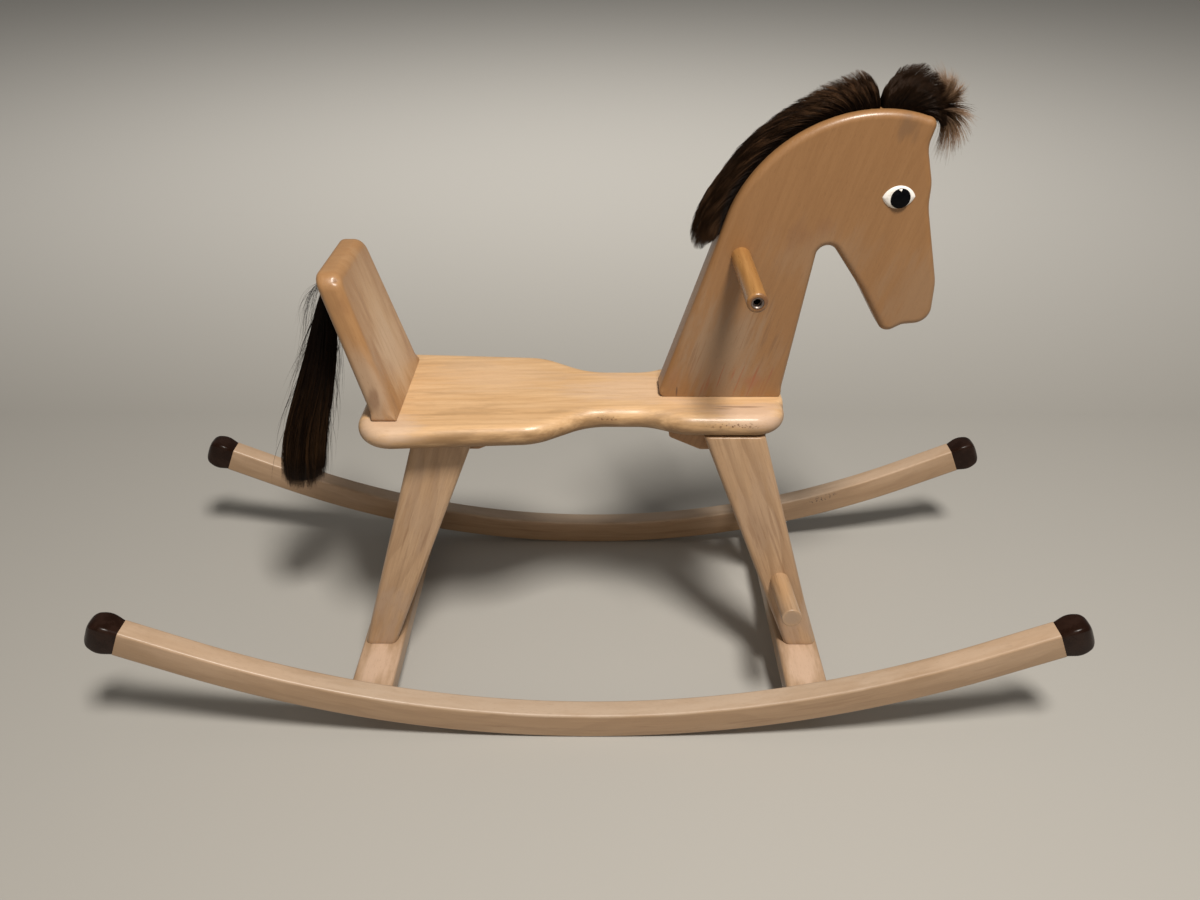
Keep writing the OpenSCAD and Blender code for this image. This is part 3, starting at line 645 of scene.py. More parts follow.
ends, sides = ((1, "front"), (-1, "rear")), ((1, "left"), (-1, "right"))
for end, end_name in ends:
    for side, side_name in sides:
        lean = (-end * (foot_middle_x - leg_top_middle_x) / (leg_top - leg_bottom),
                -side * math.tan(leg_splay), 1)
        leg_wood = wood(
            f"leg_wood_{end_name}_{side_name}", lean, leg_tones, rings=0.50 if end > 0 else 0.32,
            ring_gap=0.0125 if end > 0 else 0.008, seed=2.0 + 3.1 * end + 1.7 * side,
            wear_and_shade=[((end * 0.222, side * 0.092, 0.09), (0.03, 0.02, 0.05), worn_grey, 0.7),
                  ((end * 0.17, side * 0.07, 0.22), (0.03, 0.02, 0.06), worn_grey, 0.3)],
            streaks=[((end * 0.19, side * 0.08, 0.17), (0.05, 0.03, 0.12), streak_brown, 0.35)])
        piece(f"leg_{end_name}_{side_name}_board", leg_rings(end, side), leg_wood, "horse",
              [f"leg_{end_name}_{side_name}"])

# %% [markdown]
# ## Crossbars and battens
#
# The crossbars join the runners, and the battens join the legs under the seat. Both are plain bars
# across the horse with eased edges. The battens' ends follow the splay of the legs.

# %% Crossbars
cross_low, cross_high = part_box("crossbar_front")
cross_middle, cross_half = (cross_high + cross_low) / 2, (cross_high - cross_low) / 2
cross_rounding, cross_easing = 0.0035, 0.0003
y, pull = end_eased(np.linspace(cross_low.y, cross_high.y, 12), cross_easing)
ring = rounded_section(cross_half.x - pull, cross_half.z - pull, cross_rounding)
for end, end_name in ends:
    cross_wood = wood(
        f"crossbar_wood_{end_name}", (0, 1, 0), runner_tones, rings=0.28, ring_gap=0.008, seed=5 + end,
        ragged=0.25,
        wear_and_shade=[((end * bar_x, y_worn, cross_high.z), (0.03, 0.05, 0.006), (0.60, 0.42, 0.30), 0.9)
              for y_worn in (-0.12, 0.12)])
    x, z = end * (cross_middle.x + ring[..., 0]), cross_middle.z + ring[..., 1]
    piece(f"crossbar_{end_name}_bar", np.stack([x, np.broadcast_to(y[:, None], x.shape), z], -1),
          cross_wood, "horse", [f"crossbar_{end_name}"])


# %% Battens
batten_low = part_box("batten_front")[0]
batten_rear_x, batten_front_x, batten_chamfer = batten_low.x, batten_low.x + 0.098, 0.008
batten_corners = [
    (batten_rear_x, seat_low.z, 0.001), (batten_front_x, seat_low.z, 0.001),
    (batten_front_x, batten_low.z + batten_chamfer, 0.003),
    (batten_front_x - batten_chamfer, batten_low.z, 0.003),
    (0.1125, batten_low.z, 0.006), (batten_rear_x, seat_low.z - 0.01125, 0.003)]
batten_outline = evenly(rounded(batten_corners), 0.0025)
batten_span = 2 * (leg_top_y - leg_level_t)


def on_batten(end):
    """Places a batten's outline: depth runs across the horse, stretched so that the ends follow the
    legs' splay."""
    def place(x, z, depth):
        half_here = (leg_top_y - leg_level_t) + (leg_top - z) * math.tan(leg_splay)
        return np.stack([end * x, (depth / batten_span * 2 - 1) * half_here, z], -1)
    return place


for end, end_name in ends:
    batten_wood = wood(f"batten_wood_{end_name}", (0, 1, 0), board_tones, rings=0.3, seed=8 + end)
    batten_rings = board_rings(batten_outline, batten_span, 0.0004, on_batten(end), steps=3)
    piece(f"batten_{end_name}_board", batten_rings, batten_wood, "horse", [f"batten_{end_name}"])

# %% [markdown]
# ## Runners
#
# A runner is thin strips glued over a curved form: it follows a circle, and its ends run on straight.
# So the section is carried along a path whose heading equals the distance travelled over the
# radius, up to the end of the bend. The wood's pattern follows the bend as well: it reads a
# coordinate map of the distance along the runner instead of the straight X.

# %% Runner path
runner_low, runner_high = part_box("runner_left")
runner_r = 0.983
runner_bend = math.radians(24.8)
runner_tip = 0.065
runner_h = 0.032
runner_half_w = (runner_high.y - runner_low.y) / 2
runner_mid_y = (runner_high.y + runner_low.y) / 2
half_path = runner_r * runner_bend + runner_tip
print(f"runner: {2 * half_path:.3f} m along its underside, which bends to a radius of {runner_r} m")


def runner_frame(s):
    """The underside's point (x, z) and heading at the distance s along it from the middle: on the
    circle up to the end of the bend, and straight on beyond it."""
    heading = np.clip(s / runner_r, -runner_bend, runner_bend)
    beyond = s - heading * runner_r
    x = runner_r * np.sin(heading) + beyond * np.cos(heading)
    z = runner_r * (1 - np.cos(heading)) + beyond * np.sin(heading)
    return x, z, heading


def along_runner(s, side, ring):
    """A ring of (across, up) points carried to each distance s along a runner."""
    x, z, heading = (v[:, None] for v in runner_frame(s))
    up = ring[..., 1]
    px, pz = x - up * np.sin(heading), z + up * np.cos(heading)
    return np.stack([px, side * runner_mid_y + ring[..., 0], pz], -1)


def runner_map(points, side):
    """The distance along, across and above the underside of a runner for points on it."""
    heading = np.arctan2(points[:, 0], runner_r - points[:, 2])
    bent = np.clip(heading, -runner_bend, runner_bend)
    from_centre = np.stack([points[:, 0], points[:, 2] - runner_r], -1)
    ahead = np.stack([np.cos(bent), np.sin(bent)], -1)
    outward = np.stack([np.sin(bent), -np.cos(bent)], -1)
    along = bent * runner_r + (from_centre * ahead).sum(1) * (np.abs(heading) > runner_bend)
    return np.stack([along, side * points[:, 1], runner_r - (from_centre * outward).sum(1)], -1)


# %% Runners
tenon_wall, tenon_length, tenon_rounding, runner_rounding = 0.003, 0.018, 0.001, 0.0028
ledge = 0.0002
scuff_at = (0.322, runner_mid_y - 0.011, 0.0235)
scuff = (scuff_at, (0.028, 0.004, 0.0065), (0.07, 0.05, 0.04), 0.9)
s_wood = np.concatenate([
    [-half_path - tenon_length, -half_path - ledge], np.linspace(-half_path, half_path, 260),
    [half_path + ledge, half_path + tenon_length]])
thin = np.where(np.abs(s_wood) > half_path + ledge / 2, tenon_wall, 0.0)
rounding = np.where(thin > 0, tenon_rounding, runner_rounding)
ring = rounded_section(runner_half_w - thin, runner_h / 2 - thin, rounding) + np.array([0, runner_h / 2])
for side, side_name in sides:
    runner_wood = wood(
        f"runner_wood_{side_name}", (1, 0, 0), runner_tones, rings=0.25, ring_gap=0.007,
        seed=11 + side, bent=True, figure=0.6, ragged=0.18,
        # The first patch makes the whole top face paler and greyer than the sides.
        wear_and_shade=[((0.0, runner_mid_y, runner_h + 0.001), (0.85, 0.03, 0.005), (0.53, 0.405, 0.300), 0.85),
              ((0.44, runner_mid_y, runner_h), (0.16, 0.03, 0.03), (0.56, 0.39, 0.26), 0.5),
              ((-0.42, runner_mid_y, runner_h), (0.18, 0.03, 0.03), (0.56, 0.39, 0.26), 0.6)],
        streaks=[((0.0, runner_mid_y, 0.01), (0.55, 0.03, 0.02), streak_brown, 0.30)],
        bruises=[scuff] if side > 0 else ())
    piece(f"runner_{side_name}_bow", along_runner(s_wood, side, ring), runner_wood, "horse",
          [f"runner_{side_name}"], bent=lambda points: runner_map(points, side))

# %% [markdown]
# ## End caps
#
# The caps are moulded in dark brown plastic and pushed over a tenon at each end of a runner. One
# profile makes all of a cap: it starts at the bottom of the pocket, comes out to the mouth, goes
# over the barrelled outside and closes at the middle of the domed end. Each profile point says how
# far along the runner it is and how far outside the wood's section.

# %% Cap profile
cap_length, cap_bulge, cap_dome, cap_draft = 0.0288, 0.0030, 0.0022, 0.0008
belly_round = 0.030


def cap_half(half, end_round):
    """Half of a cap's outline over wood that is 2 * half high, as rows (along, out): flush at the
    mouth, barrelled, and rounded over to the middle of its domed end."""
    mirrored = rounded([
        (0, -half, 0), (cap_length / 2, -half - cap_bulge, belly_round),
        (cap_length, -half + cap_draft, end_round), (cap_length + cap_dome, 0, half * 1.2),
        (cap_length, half - cap_draft, end_round), (cap_length / 2, half + cap_bulge, belly_round),
        (0, half, 0)])
    upper = mirrored[mirrored[:, 1] > 0]
    return upper[np.argsort(upper[:, 0], kind="stable")]


plan_half, side_half = cap_half(runner_half_w, 0.0095), cap_half(runner_h / 2, 0.0085)
cap_reach = min(plan_half[-1, 0], side_half[-1, 0])
cap_at = cap_reach * np.sin(np.linspace(0, math.pi / 2, 34)[:-1])
cap_a = np.interp(cap_at, plan_half[:, 0], plan_half[:, 1])
cap_b = np.interp(cap_at, side_half[:, 0], side_half[:, 1])
pocket_at = np.array([tenon_length, tenon_length, 0.0])
pocket_a = (runner_half_w - tenon_wall) * np.array([0.05, 1, 1])
pocket_b = (runner_h / 2 - tenon_wall) * np.array([0.05, 1, 1])
half_a, half_b = np.concatenate([pocket_a, cap_a]), np.concatenate([pocket_b, cap_b])
print(f"cap: {cap_reach:.4f} m long, {2 * cap_a.max():.4f} m wide and {2 * cap_b.max():.4f} m high")


# %% Caps
def cap_plastic():
    """Dark brown moulded plastic: glossy, with the faint orange peel and rubbed spots of use."""
    r = Recipe("cap_plastic")
    grain = r.noise(r.moved(r.object_at, scale=(900, 900, 900)), 2)
    rubs = r.noise(r.moved(r.object_at, scale=(70, 70, 70)), 4, 0.65)
    colour = r.mix(r.span(rubs, 0.35, 0.7), (0.013, 0.0046, 0.0022), (0.023, 0.0098, 0.0060))
    r.put(r.shader.inputs["Base Color"], colour)
    r.put(r.shader.inputs["Roughness"], r.span(rubs, 0.35, 0.7, 0.20, 0.36))
    r.shader.inputs["Specular IOR Level"].default_value = 0.18
    r.bump(grain, 0.00006)
    return r.material


cap_finish = cap_plastic()
cap_rounding, pocket_rounding = 0.0042, 0.0004
edge_round = np.minimum(cap_rounding, 0.95 * np.minimum(half_a, half_b))
edge_round[:len(pocket_at)] = pocket_rounding
ring = rounded_section(half_a, half_b, edge_round, 7) + np.array([0, runner_h / 2])
for side, side_name in sides:
    for end, end_name in ends:
        travel = end * (half_path + np.concatenate([pocket_at, cap_at]))
        piece(f"cap_{end_name}_{side_name}_moulding", along_runner(travel, side, ring), cap_finish,
              "horse", [f"cap_{end_name}_{side_name}"])

# %% [markdown]
# ## Turned dowels
#
# The hand and foot dowels are round, so each is a profile of radius against length, spun round its
# axis. Blender's Screw modifier does the same, but here the rings go straight into `piece`, which
# closes them and gives them their finish as it does for the boards.


# %% Turned pieces
def turned(profile, root, axis, count=64):
    """rings[v, u] of a profile of (along, radius) spun round axis from root."""
    profile = np.asarray(profile, float)
    axis = np.asarray(axis, float) / np.linalg.norm(axis)
    side = np.cross(axis, (1, 0, 0))
    side /= np.linalg.norm(side)
    other = np.cross(axis, side)
    turn = np.linspace(0, 2 * math.pi, count, endpoint=False)
    around = np.cos(turn)[:, None] * side + np.sin(turn)[:, None] * other
    return np.asarray(root) + profile[:, :1, None] * axis + profile[:, 1:, None] * around[None]


def quarter(along, radius, r, steps=6):
    """A quarter round of radius r from the side of a dowel over to its end face at along."""
    a = np.linspace(0, math.pi / 2, steps)
    return [(along - r + r * math.sin(t), radius - r + r * math.cos(t)) for t in a]


# %% [markdown]
# ## Hand dowels
#
# A child holds on to these two, one each side of the neck. A threaded rod through the neck pulls
# them tight, with a steel sleeve nut let into the end of each. The nut has a dark socket in it for
# the key. The same spun profile makes the dowel with its bored end, and the nut with its socket.

# %% Hand dowels
handle_x, handle_z = 0.141, seat_top + 0.1485
handle_r, handle_length, handle_round = 0.009, 0.108, 0.0025
nut_r, nut_length, nut_recess, nut_bevel = 0.0055, 0.013, 0.0004, 0.0004
rod_r, socket_r, socket_depth, socket_bevel = 0.003, 0.0035, 0.005, 0.0008


def steel_finish():
    """Zinc-plated steel that has gone dull and brownish, with darker spots."""
    r = Recipe("nut_steel")
    spots = r.noise(r.moved(r.object_at, scale=(700, 700, 700)), 3)
    dull_zinc, dark_spot = (0.34, 0.28, 0.25), (0.18, 0.14, 0.12)
    r.put(r.shader.inputs["Base Color"], r.mix(r.span(spots, 0.4, 0.65), dull_zinc, dark_spot))
    r.put(r.shader.inputs["Roughness"], r.span(spots, 0.3, 0.7, 0.40, 0.6))
    r.shader.inputs["Metallic"].default_value = 1.0
    r.bump(spots, 0.00003)
    return r.material


steel = steel_finish()
face = handle_length - nut_recess
mouth, socket_end = face - nut_length, face - socket_depth
handle_profile = [(0.0, rod_r), (0.0, handle_r)]
handle_profile += [(x, handle_r) for x in np.linspace(0.002, handle_length - 0.004, 24)]
handle_profile += quarter(handle_length, handle_r, handle_round)
handle_profile += [(handle_length, nut_r), (mouth, nut_r), (mouth, rod_r)]
nut_profile = [(mouth, rod_r), (mouth, nut_r), (face - nut_bevel, nut_r), (face, nut_r - nut_bevel),
               (face, socket_r + socket_bevel), (face - socket_bevel, socket_r),
               (socket_end, socket_r), (socket_end, rod_r)]
for side, side_name in sides:
    root, outward = (handle_x, side * head_half, handle_z), (0, side, 0)
    darker_end = (handle_x, side * (head_half + handle_length), handle_z)
    dowel_wood = wood(
        f"hand_dowel_wood_{side_name}", (0, 1, 0), dowel_tones, rings=0.25, ring_gap=0.004,
        seed=14 + side, gloss=0.32,
        # The last few millimetres of each dowel are darker.
        stains_and_shadows=[(darker_end, (0.0135, 0.0035, 0.0135), (0.15, 0.07, 0.035), 0.85)])
    piece(f"hand_dowel_{side_name}", turned(handle_profile, root, outward), dowel_wood, "horse",
          [f"handle_{side_name}"])
    piece(f"sleeve_nut_{side_name}", turned(nut_profile, root, outward), steel, "horse",
          [f"handle_nut_{side_name}"])

# %% [markdown]
# ## Foot dowels
#
# Each front leg has a dowel for a foot, glued into its outer face and square to it, so the dowel
# rises by the leg's splay as it comes out. Shoes have rubbed off the varnish along its top and on
# its end, so it gets two worn patches. It starts a little inside the leg, where it can't be seen.

# %% Foot dowels
rest_z, rest_r, rest_length, rest_chamfer, rest_rooted = 0.1355, 0.010, 0.069, 0.0012, 0.006
rest_t = (rest_z - leg_bottom) / (leg_top - leg_bottom)
rest_x = foot_middle_x + rest_t * (leg_top_middle_x - foot_middle_x)
rest_y = leg_foot_y + rest_t * (leg_top_y - leg_foot_y)
rest_profile = [(-rest_rooted, 0.0005), (-rest_rooted, rest_r)]
rest_profile += [(x, rest_r) for x in np.linspace(-0.004, rest_length - 0.003, 18)]
rest_profile += quarter(rest_length, rest_r, rest_chamfer, 5)
rest_profile += [(rest_length, rest_r * 0.82), (rest_length, 0.0004)]
for side, side_name in sides:
    axis = np.array([0, side * math.cos(leg_splay), math.sin(leg_splay)])
    end_at = np.array([rest_x, side * rest_y, rest_z]) + axis * rest_length
    rest_wood = wood(
        f"foot_dowel_wood_{side_name}", tuple(axis), leg_tones, rings=0.25,
        ring_gap=0.004, seed=17 + side, gloss=0.33, ragged=0.2,
        wear_and_shade=[((rest_x, side * (rest_y + 0.03), rest_z), (0.03, 0.05, 0.03), (0.50, 0.30, 0.15), 0.8),
              (tuple(end_at), (0.014, 0.006, 0.014), (0.33, 0.225, 0.15), 0.95)],
        streaks=[((rest_x, side * (rest_y + 0.01), rest_z), (0.03, 0.05, 0.03), streak_brown, 0.4)])
    piece(f"foot_dowel_{side_name}", turned(rest_profile, (rest_x, side * rest_y, rest_z), axis),
          rest_wood, "horse", [f"foot_rest_{side_name}"])

# %% [markdown]
# ## Eyes
#
# Each eye is a white moulded almond with a black dome on it. A small white wedge on the dome's edge
# stands for the eye's glint, a painted highlight. The almond is where two circles overlap. Its surface
# is the almond scaled down ring by ring while it rises by the square root of `1 - k ** 4`, so the rim
# is steep and the middle is nearly flat.

# %% Eye shapes
eye_x, eye_z, eye_tilt = crest_x + 0.022, crest_z + 0.062, math.radians(2)
eye_long, eye_tall, eye_thick, pupil_r, pupil_dome = 0.030, 0.021, 0.0026, 0.009, 0.0014
pupil_at, glint_at, glint_dome = np.array([0.001, 0, -0.0006]), np.array([0.0002, 0, 0.0068]), 0.0013
print(f"eyes: centred {eye_z:.3f} m above the floor, {eye_long} by {eye_tall} m")


def almond(length, height, count=96):
    """The outline where two circles overlap: circles of radius (l^2 + h^2) / 4h, moved apart."""
    radius = (length ** 2 + height ** 2) / (4 * height)
    reach = math.asin(length / 2 / radius)
    t = np.linspace(-reach, reach, count // 2, endpoint=False)
    upper = np.stack([radius * np.sin(-t), radius * np.cos(t) - radius + height / 2], -1)
    return np.vstack([upper, -upper])


def domed(outline, low, high, side, sharp=4):
    """rings of an outline shrunk by k while it rises from low to high as the square root of
    1 - k ** sharp, laid on the head board at the eye."""
    k = np.concatenate([[0.02, 0.99], np.cos(np.linspace(0, math.pi / 2, 12)) * 0.98 + 0.02])
    rise = np.concatenate([[low, low], low + (high - low) * np.sqrt(1 - k[2:] ** sharp)])
    rise[2:] = np.maximum(rise[2:], low + 1e-5)
    u, v = k[:, None] * outline[:, 0], k[:, None] * outline[:, 1]
    x = eye_x + u * math.cos(eye_tilt) - v * math.sin(eye_tilt)
    z = eye_z + u * math.sin(eye_tilt) + v * math.cos(eye_tilt)
    y = side * (head_half + np.broadcast_to(rise[:, None], x.shape))
    return np.stack([x, y, z], -1)


# %% Eyes
def moulded(name, colour, speckle, roughness, shine):
    """A moulded plastic in one colour, with faint specks of dirt and a polished skin."""
    r = Recipe(name)
    specks = r.noise(r.moved(r.object_at, scale=(420, 420, 420)), 4, 0.6)
    r.put(r.shader.inputs["Base Color"], r.mix(r.span(specks, 0.52, 0.68), colour, speckle))
    r.put(r.shader.inputs["Roughness"], r.span(specks, 0.3, 0.7, roughness, roughness + 0.08))
    r.shader.inputs["Specular IOR Level"].default_value = shine
    r.bump(specks, 0.00002)
    return r.material


eye_white = moulded("eye_white", (0.84, 0.81, 0.77), (0.70, 0.65, 0.58), 0.25, 0.3)
eye_black = moulded("eye_black", (0.003, 0.003, 0.004), (0.006, 0.006, 0.008), 0.08, 0.05)
round_turn = np.linspace(0, 2 * math.pi, 72, endpoint=False)
circle = pupil_r * np.stack([np.cos(round_turn), np.sin(round_turn)], -1)
wedge = evenly(rounded([(-0.0024, 0.0008, 0.0003), (0.0012, 0.0014, 0.0004), (0.0004, -0.0020, 0.0003)]),
               0.0003)
sunk = eye_thick * 0.8
for side, side_name in sides:
    white = domed(almond(eye_long, eye_tall), -0.001, eye_thick, side)
    piece(f"eye_{side_name}_white", white, eye_white, "horse", [f"eye_{side_name}"])
    pupil = domed(circle, sunk, eye_thick + pupil_dome, side, 2) + pupil_at
    piece(f"pupil_{side_name}_dome", pupil, eye_black, "horse", [f"pupil_{side_name}"])
    # The glint is a painted highlight: a white wedge standing proud of the dome.
    glint = domed(wedge, sunk, eye_thick + glint_dome, side, 2) + glint_at
    piece(f"glint_{side_name}", glint, eye_white, "horse")

# %% [markdown]
# ## Hair
#
# The mane and tail are coarse hair. Blender's own hair would be lost in the export, so each hair is
# a real closed tube with three sides, and all the hairs of a piece are one array of paths. A hair's
# path is a curve with three handles: its root, the way it first grows, and its tip. Hairs gather in
# locks, and each lock leans its own way. Two numbers go along with every point, the lock's shade and
# the distance from the root, and the material reads them.


# %% Hairs as closed tubes
def hair_tubes(name, paths, thickness, shade, finish, body):
    """One mesh of three-sided tubes along paths[hair, k]: each ring turns with its path, swells a
    little past the root and thins toward the tip. It rides on a body and takes a material slot."""
    hairs, rings = paths.shape[:2]
    ahead = np.gradient(paths, axis=1)
    ahead /= np.linalg.norm(ahead, axis=-1, keepdims=True) + 1e-12
    side = np.cross(ahead, np.array([0.31, 0.87, 0.38]))
    side /= np.linalg.norm(side, axis=-1, keepdims=True) + 1e-12
    other = np.cross(ahead, side)
    t = np.linspace(0, 1, rings)
    swell = (0.75 + 0.5 * np.sin(math.pi * np.minimum(t * 1.3, 1))) * (1 - 0.85 * t ** 2.5)
    radius = thickness[:, None] / 2 * swell[None]
    turn = np.radians([0, 120, 240])
    around = np.cos(turn)[:, None] * side[:, :, None] + np.sin(turn)[:, None] * other[:, :, None]
    points = paths[:, :, None] + radius[..., None, None] * around
    here = np.arange(hairs * rings * 3).reshape(hairs, rings, 3)
    after = np.roll(here, -1, axis=2)
    quads = np.stack([here[:, :-1], after[:, :-1], after[:, 1:], here[:, 1:]], -1).reshape(-1, 4)
    ends = np.vstack([here[:, 0, ::-1], here[:, -1]])
    mesh = bpy.data.meshes.new(name)
    mesh.vertices.add(points.size // 3)
    mesh.vertices.foreach_set("co", points.astype(np.float32).ravel())
    corners = np.concatenate([quads.ravel(), ends.ravel()])
    mesh.loops.add(len(corners))
    mesh.loops.foreach_set("vertex_index", corners)
    mesh.polygons.add(len(quads) + len(ends))
    starts = np.concatenate([np.arange(len(quads)) * 4, len(quads) * 4 + np.arange(len(ends)) * 3])
    mesh.polygons.foreach_set("loop_start", starts)
    mesh.update(calc_edges=True)
    mesh.shade_smooth()
    read_by_finish = {"shade": np.repeat(shade, rings * 3), "along": np.tile(np.repeat(t, 3), hairs)}
    for title, values in read_by_finish.items():
        held = mesh.attributes.new(title, "FLOAT", "POINT")
        held.data.foreach_set("value", values.astype(np.float32))
    mesh.materials.append(finish)
    made = bpy.data.objects.new(name, mesh)
    bpy.context.scene.collection.objects.link(made)
    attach(made, body)
    print(f"{name}: {hairs} hairs, {len(quads) * 2 + len(ends)} triangles")


def bent(root, lead, tip, rings):
    """paths[hair, k] from root to tip, leaving toward lead: (1-t)^2 root + 2t(1-t) lead + t^2 tip."""
    t = np.linspace(0, 1, rings)[None, :, None]
    return (1 - t) ** 2 * root[:, None] + 2 * t * (1 - t) * lead[:, None] + t ** 2 * tip[:, None]


def curve_through(points):
    """A function of t from 0 to 1 that runs smoothly through points, evenly by length: each stretch
    is the cubic whose slopes are half the chord between its neighbours."""
    points = np.asarray(points, float)
    padded = np.vstack([2 * points[0] - points[1], points, 2 * points[-1] - points[-2]])
    u = np.linspace(0, 1, 24, endpoint=False)[:, None]
    stretches = [
        0.5 * (2 * b + (c - a) * u + (2 * a - 5 * b + 4 * c - d) * u ** 2
               + (3 * b - a - 3 * c + d) * u ** 3)
        for a, b, c, d in zip(padded, padded[1:], padded[2:], padded[3:])]
    fine = np.concatenate(stretches + [points[-1:]])
    reach = np.concatenate([[0], np.cumsum(np.linalg.norm(np.diff(fine, axis=0), axis=1))])
    reach /= reach[-1]
    return lambda t: np.stack([np.interp(t, reach, fine[:, i]) for i in (0, 1)], -1)


def across_and_flat(flat, y):
    """Places (x, y, z) from flat ones (x, z) in the horse's middle plane and how far they are to
    its left."""
    return np.stack([flat[:, 0], y, flat[:, 1]], -1)


# %% [markdown]
# ## The hair's finish
#
# Horse hair is nearly black at the root and bleached brown toward the tip, and some locks are paler
# than others. A hair is far too thin for a pattern laid round it. So the colour goes by the two
# numbers that each point carries: from the root's colour to the tip's with the distance, and further
# in a pale lock than in a dark one. Hair isn't as glossy as plastic, so the specular level is low.

# %% Hair finish
def hair_finish(name, root_colour, tip_colour, grey):
    """Dark hair: darkest at the root, browner and lighter toward the tip, each lock its own shade."""
    r = Recipe(name)
    along = r.node("ShaderNodeAttribute", attribute_name="along").outputs["Fac"]
    shade = r.node("ShaderNodeAttribute", attribute_name="shade").outputs["Fac"]
    toward_tip = r.sum("MULTIPLY", r.span(along, 0.30, 1.0), r.span(shade, 0.30, 1.0, 0.10, 1.0))
    colour = r.mix(toward_tip, root_colour, tip_colour)
    fine = r.noise(r.moved(r.object_at, scale=(300, 300, 300)), 2)
    colour = r.mix(r.span(fine, 0.5, 0.75, 0.0, 0.35), colour, grey)
    r.put(r.shader.inputs["Base Color"], colour)
    r.shader.inputs["Roughness"].default_value = 0.42
    r.shader.inputs["Specular IOR Level"].default_value = 0.12
    return r.material


mane_finish = hair_finish(
    "mane_hair", (0.0065, 0.0028, 0.0012), (0.140, 0.072, 0.036), (0.040, 0.019, 0.009))
tail_finish = hair_finish(
    "tail_hair", (0.0042, 0.0016, 0.0006), (0.075, 0.036, 0.015), (0.020, 0.009, 0.0035))
wisp_finish = hair_finish(
    "fringe_hair", (0.030, 0.014, 0.006), (0.420, 0.260, 0.155), (0.130, 0.075, 0.042))


def backing_finish():
    """The dark woven tape and thread under the hair: a fine weave."""
    r = Recipe("hair_backing")
    pairs = (("Vector", r.object_at), ("Scale", 260.0), ("Distortion", 1.0))
    weave = r.node("ShaderNodeTexWave", pairs).outputs[1]
    r.put(r.shader.inputs["Base Color"], r.mix(weave, (0.003, 0.0015, 0.001), (0.010, 0.005, 0.003)))
    r.shader.inputs["Roughness"].default_value = 0.85
    r.bump(weave, 0.0003)
    return r.material


backing = backing_finish()
print("hair finishes:", mane_finish.name, tail_finish.name, wisp_finish.name, "and", backing.name)

# %% [markdown]
# ## Mane
#
# The mane is a strip of hair sewn upright to a tape in the crest. Its roots run up the neck and
# round the crest, and its tips lie along the mane's outline, some way behind their roots, because
# the hair leans back. Across the mane the hairs fan out from the narrow tape. A dark core inside
# fills it, so that it takes thousands of hairs and not a hundred thousand to look dense.

# %% Root line and outlines of the mane
crest = np.array([crest_x, crest_z])
neck_down = 0.016


def crest_root(angle):
    """The root line at an angle round the crest, in degrees. Past the neck's end of the arc it runs
    on straight down the neck."""
    on_arc = np.minimum(angle, 180 - neck_lean)
    below = np.radians(angle - on_arc) * crest_r
    turn = np.radians(on_arc)
    out = np.stack([np.cos(turn), np.sin(turn)], -1)
    down = np.stack([-np.sin(turn), np.cos(turn)], -1)
    return crest + crest_r * out + below[:, None] * down, out


mane_span = (180 - neck_lean + math.degrees(neck_down / crest_r), 91.6)
forelock_span = (90.8, 73.0)
mane_outline = curve_through([
    (0.112, 0.480), (0.101, 0.471), (0.0935, 0.484), (0.099, 0.509), (0.115, 0.538), (0.133, 0.565),
    (0.153, 0.585), (0.173, 0.600), (0.194, 0.614), (0.214, 0.624), (0.231, 0.630), (0.242, 0.624)])
forelock_outline = curve_through([
    (0.256, 0.617), (0.262, 0.626), (0.268, 0.633), (0.277, 0.636), (0.285, 0.636), (0.294, 0.630),
    (0.303, 0.622), (0.310, 0.613), (0.315, 0.602), (0.317, 0.591), (0.315, 0.583), (0.311, 0.580)])
print("mane round the crest from", [round(a, 1) for a in mane_span], "forelock from", forelock_span)


def gathered(tip, lock, share):
    """Tips drawn toward the middle of their lock by that share."""
    middle = np.stack([np.bincount(lock, tip[:, i]) for i in range(tip.shape[1])], -1)
    middle /= np.maximum(np.bincount(lock), 1)[:, None]
    return tip + share * (middle[lock] - tip)


widest_tilt = 78  # degrees
mane_half_root, mane_half_tip, sewn_depth = 0.0045, 0.0125, 0.002


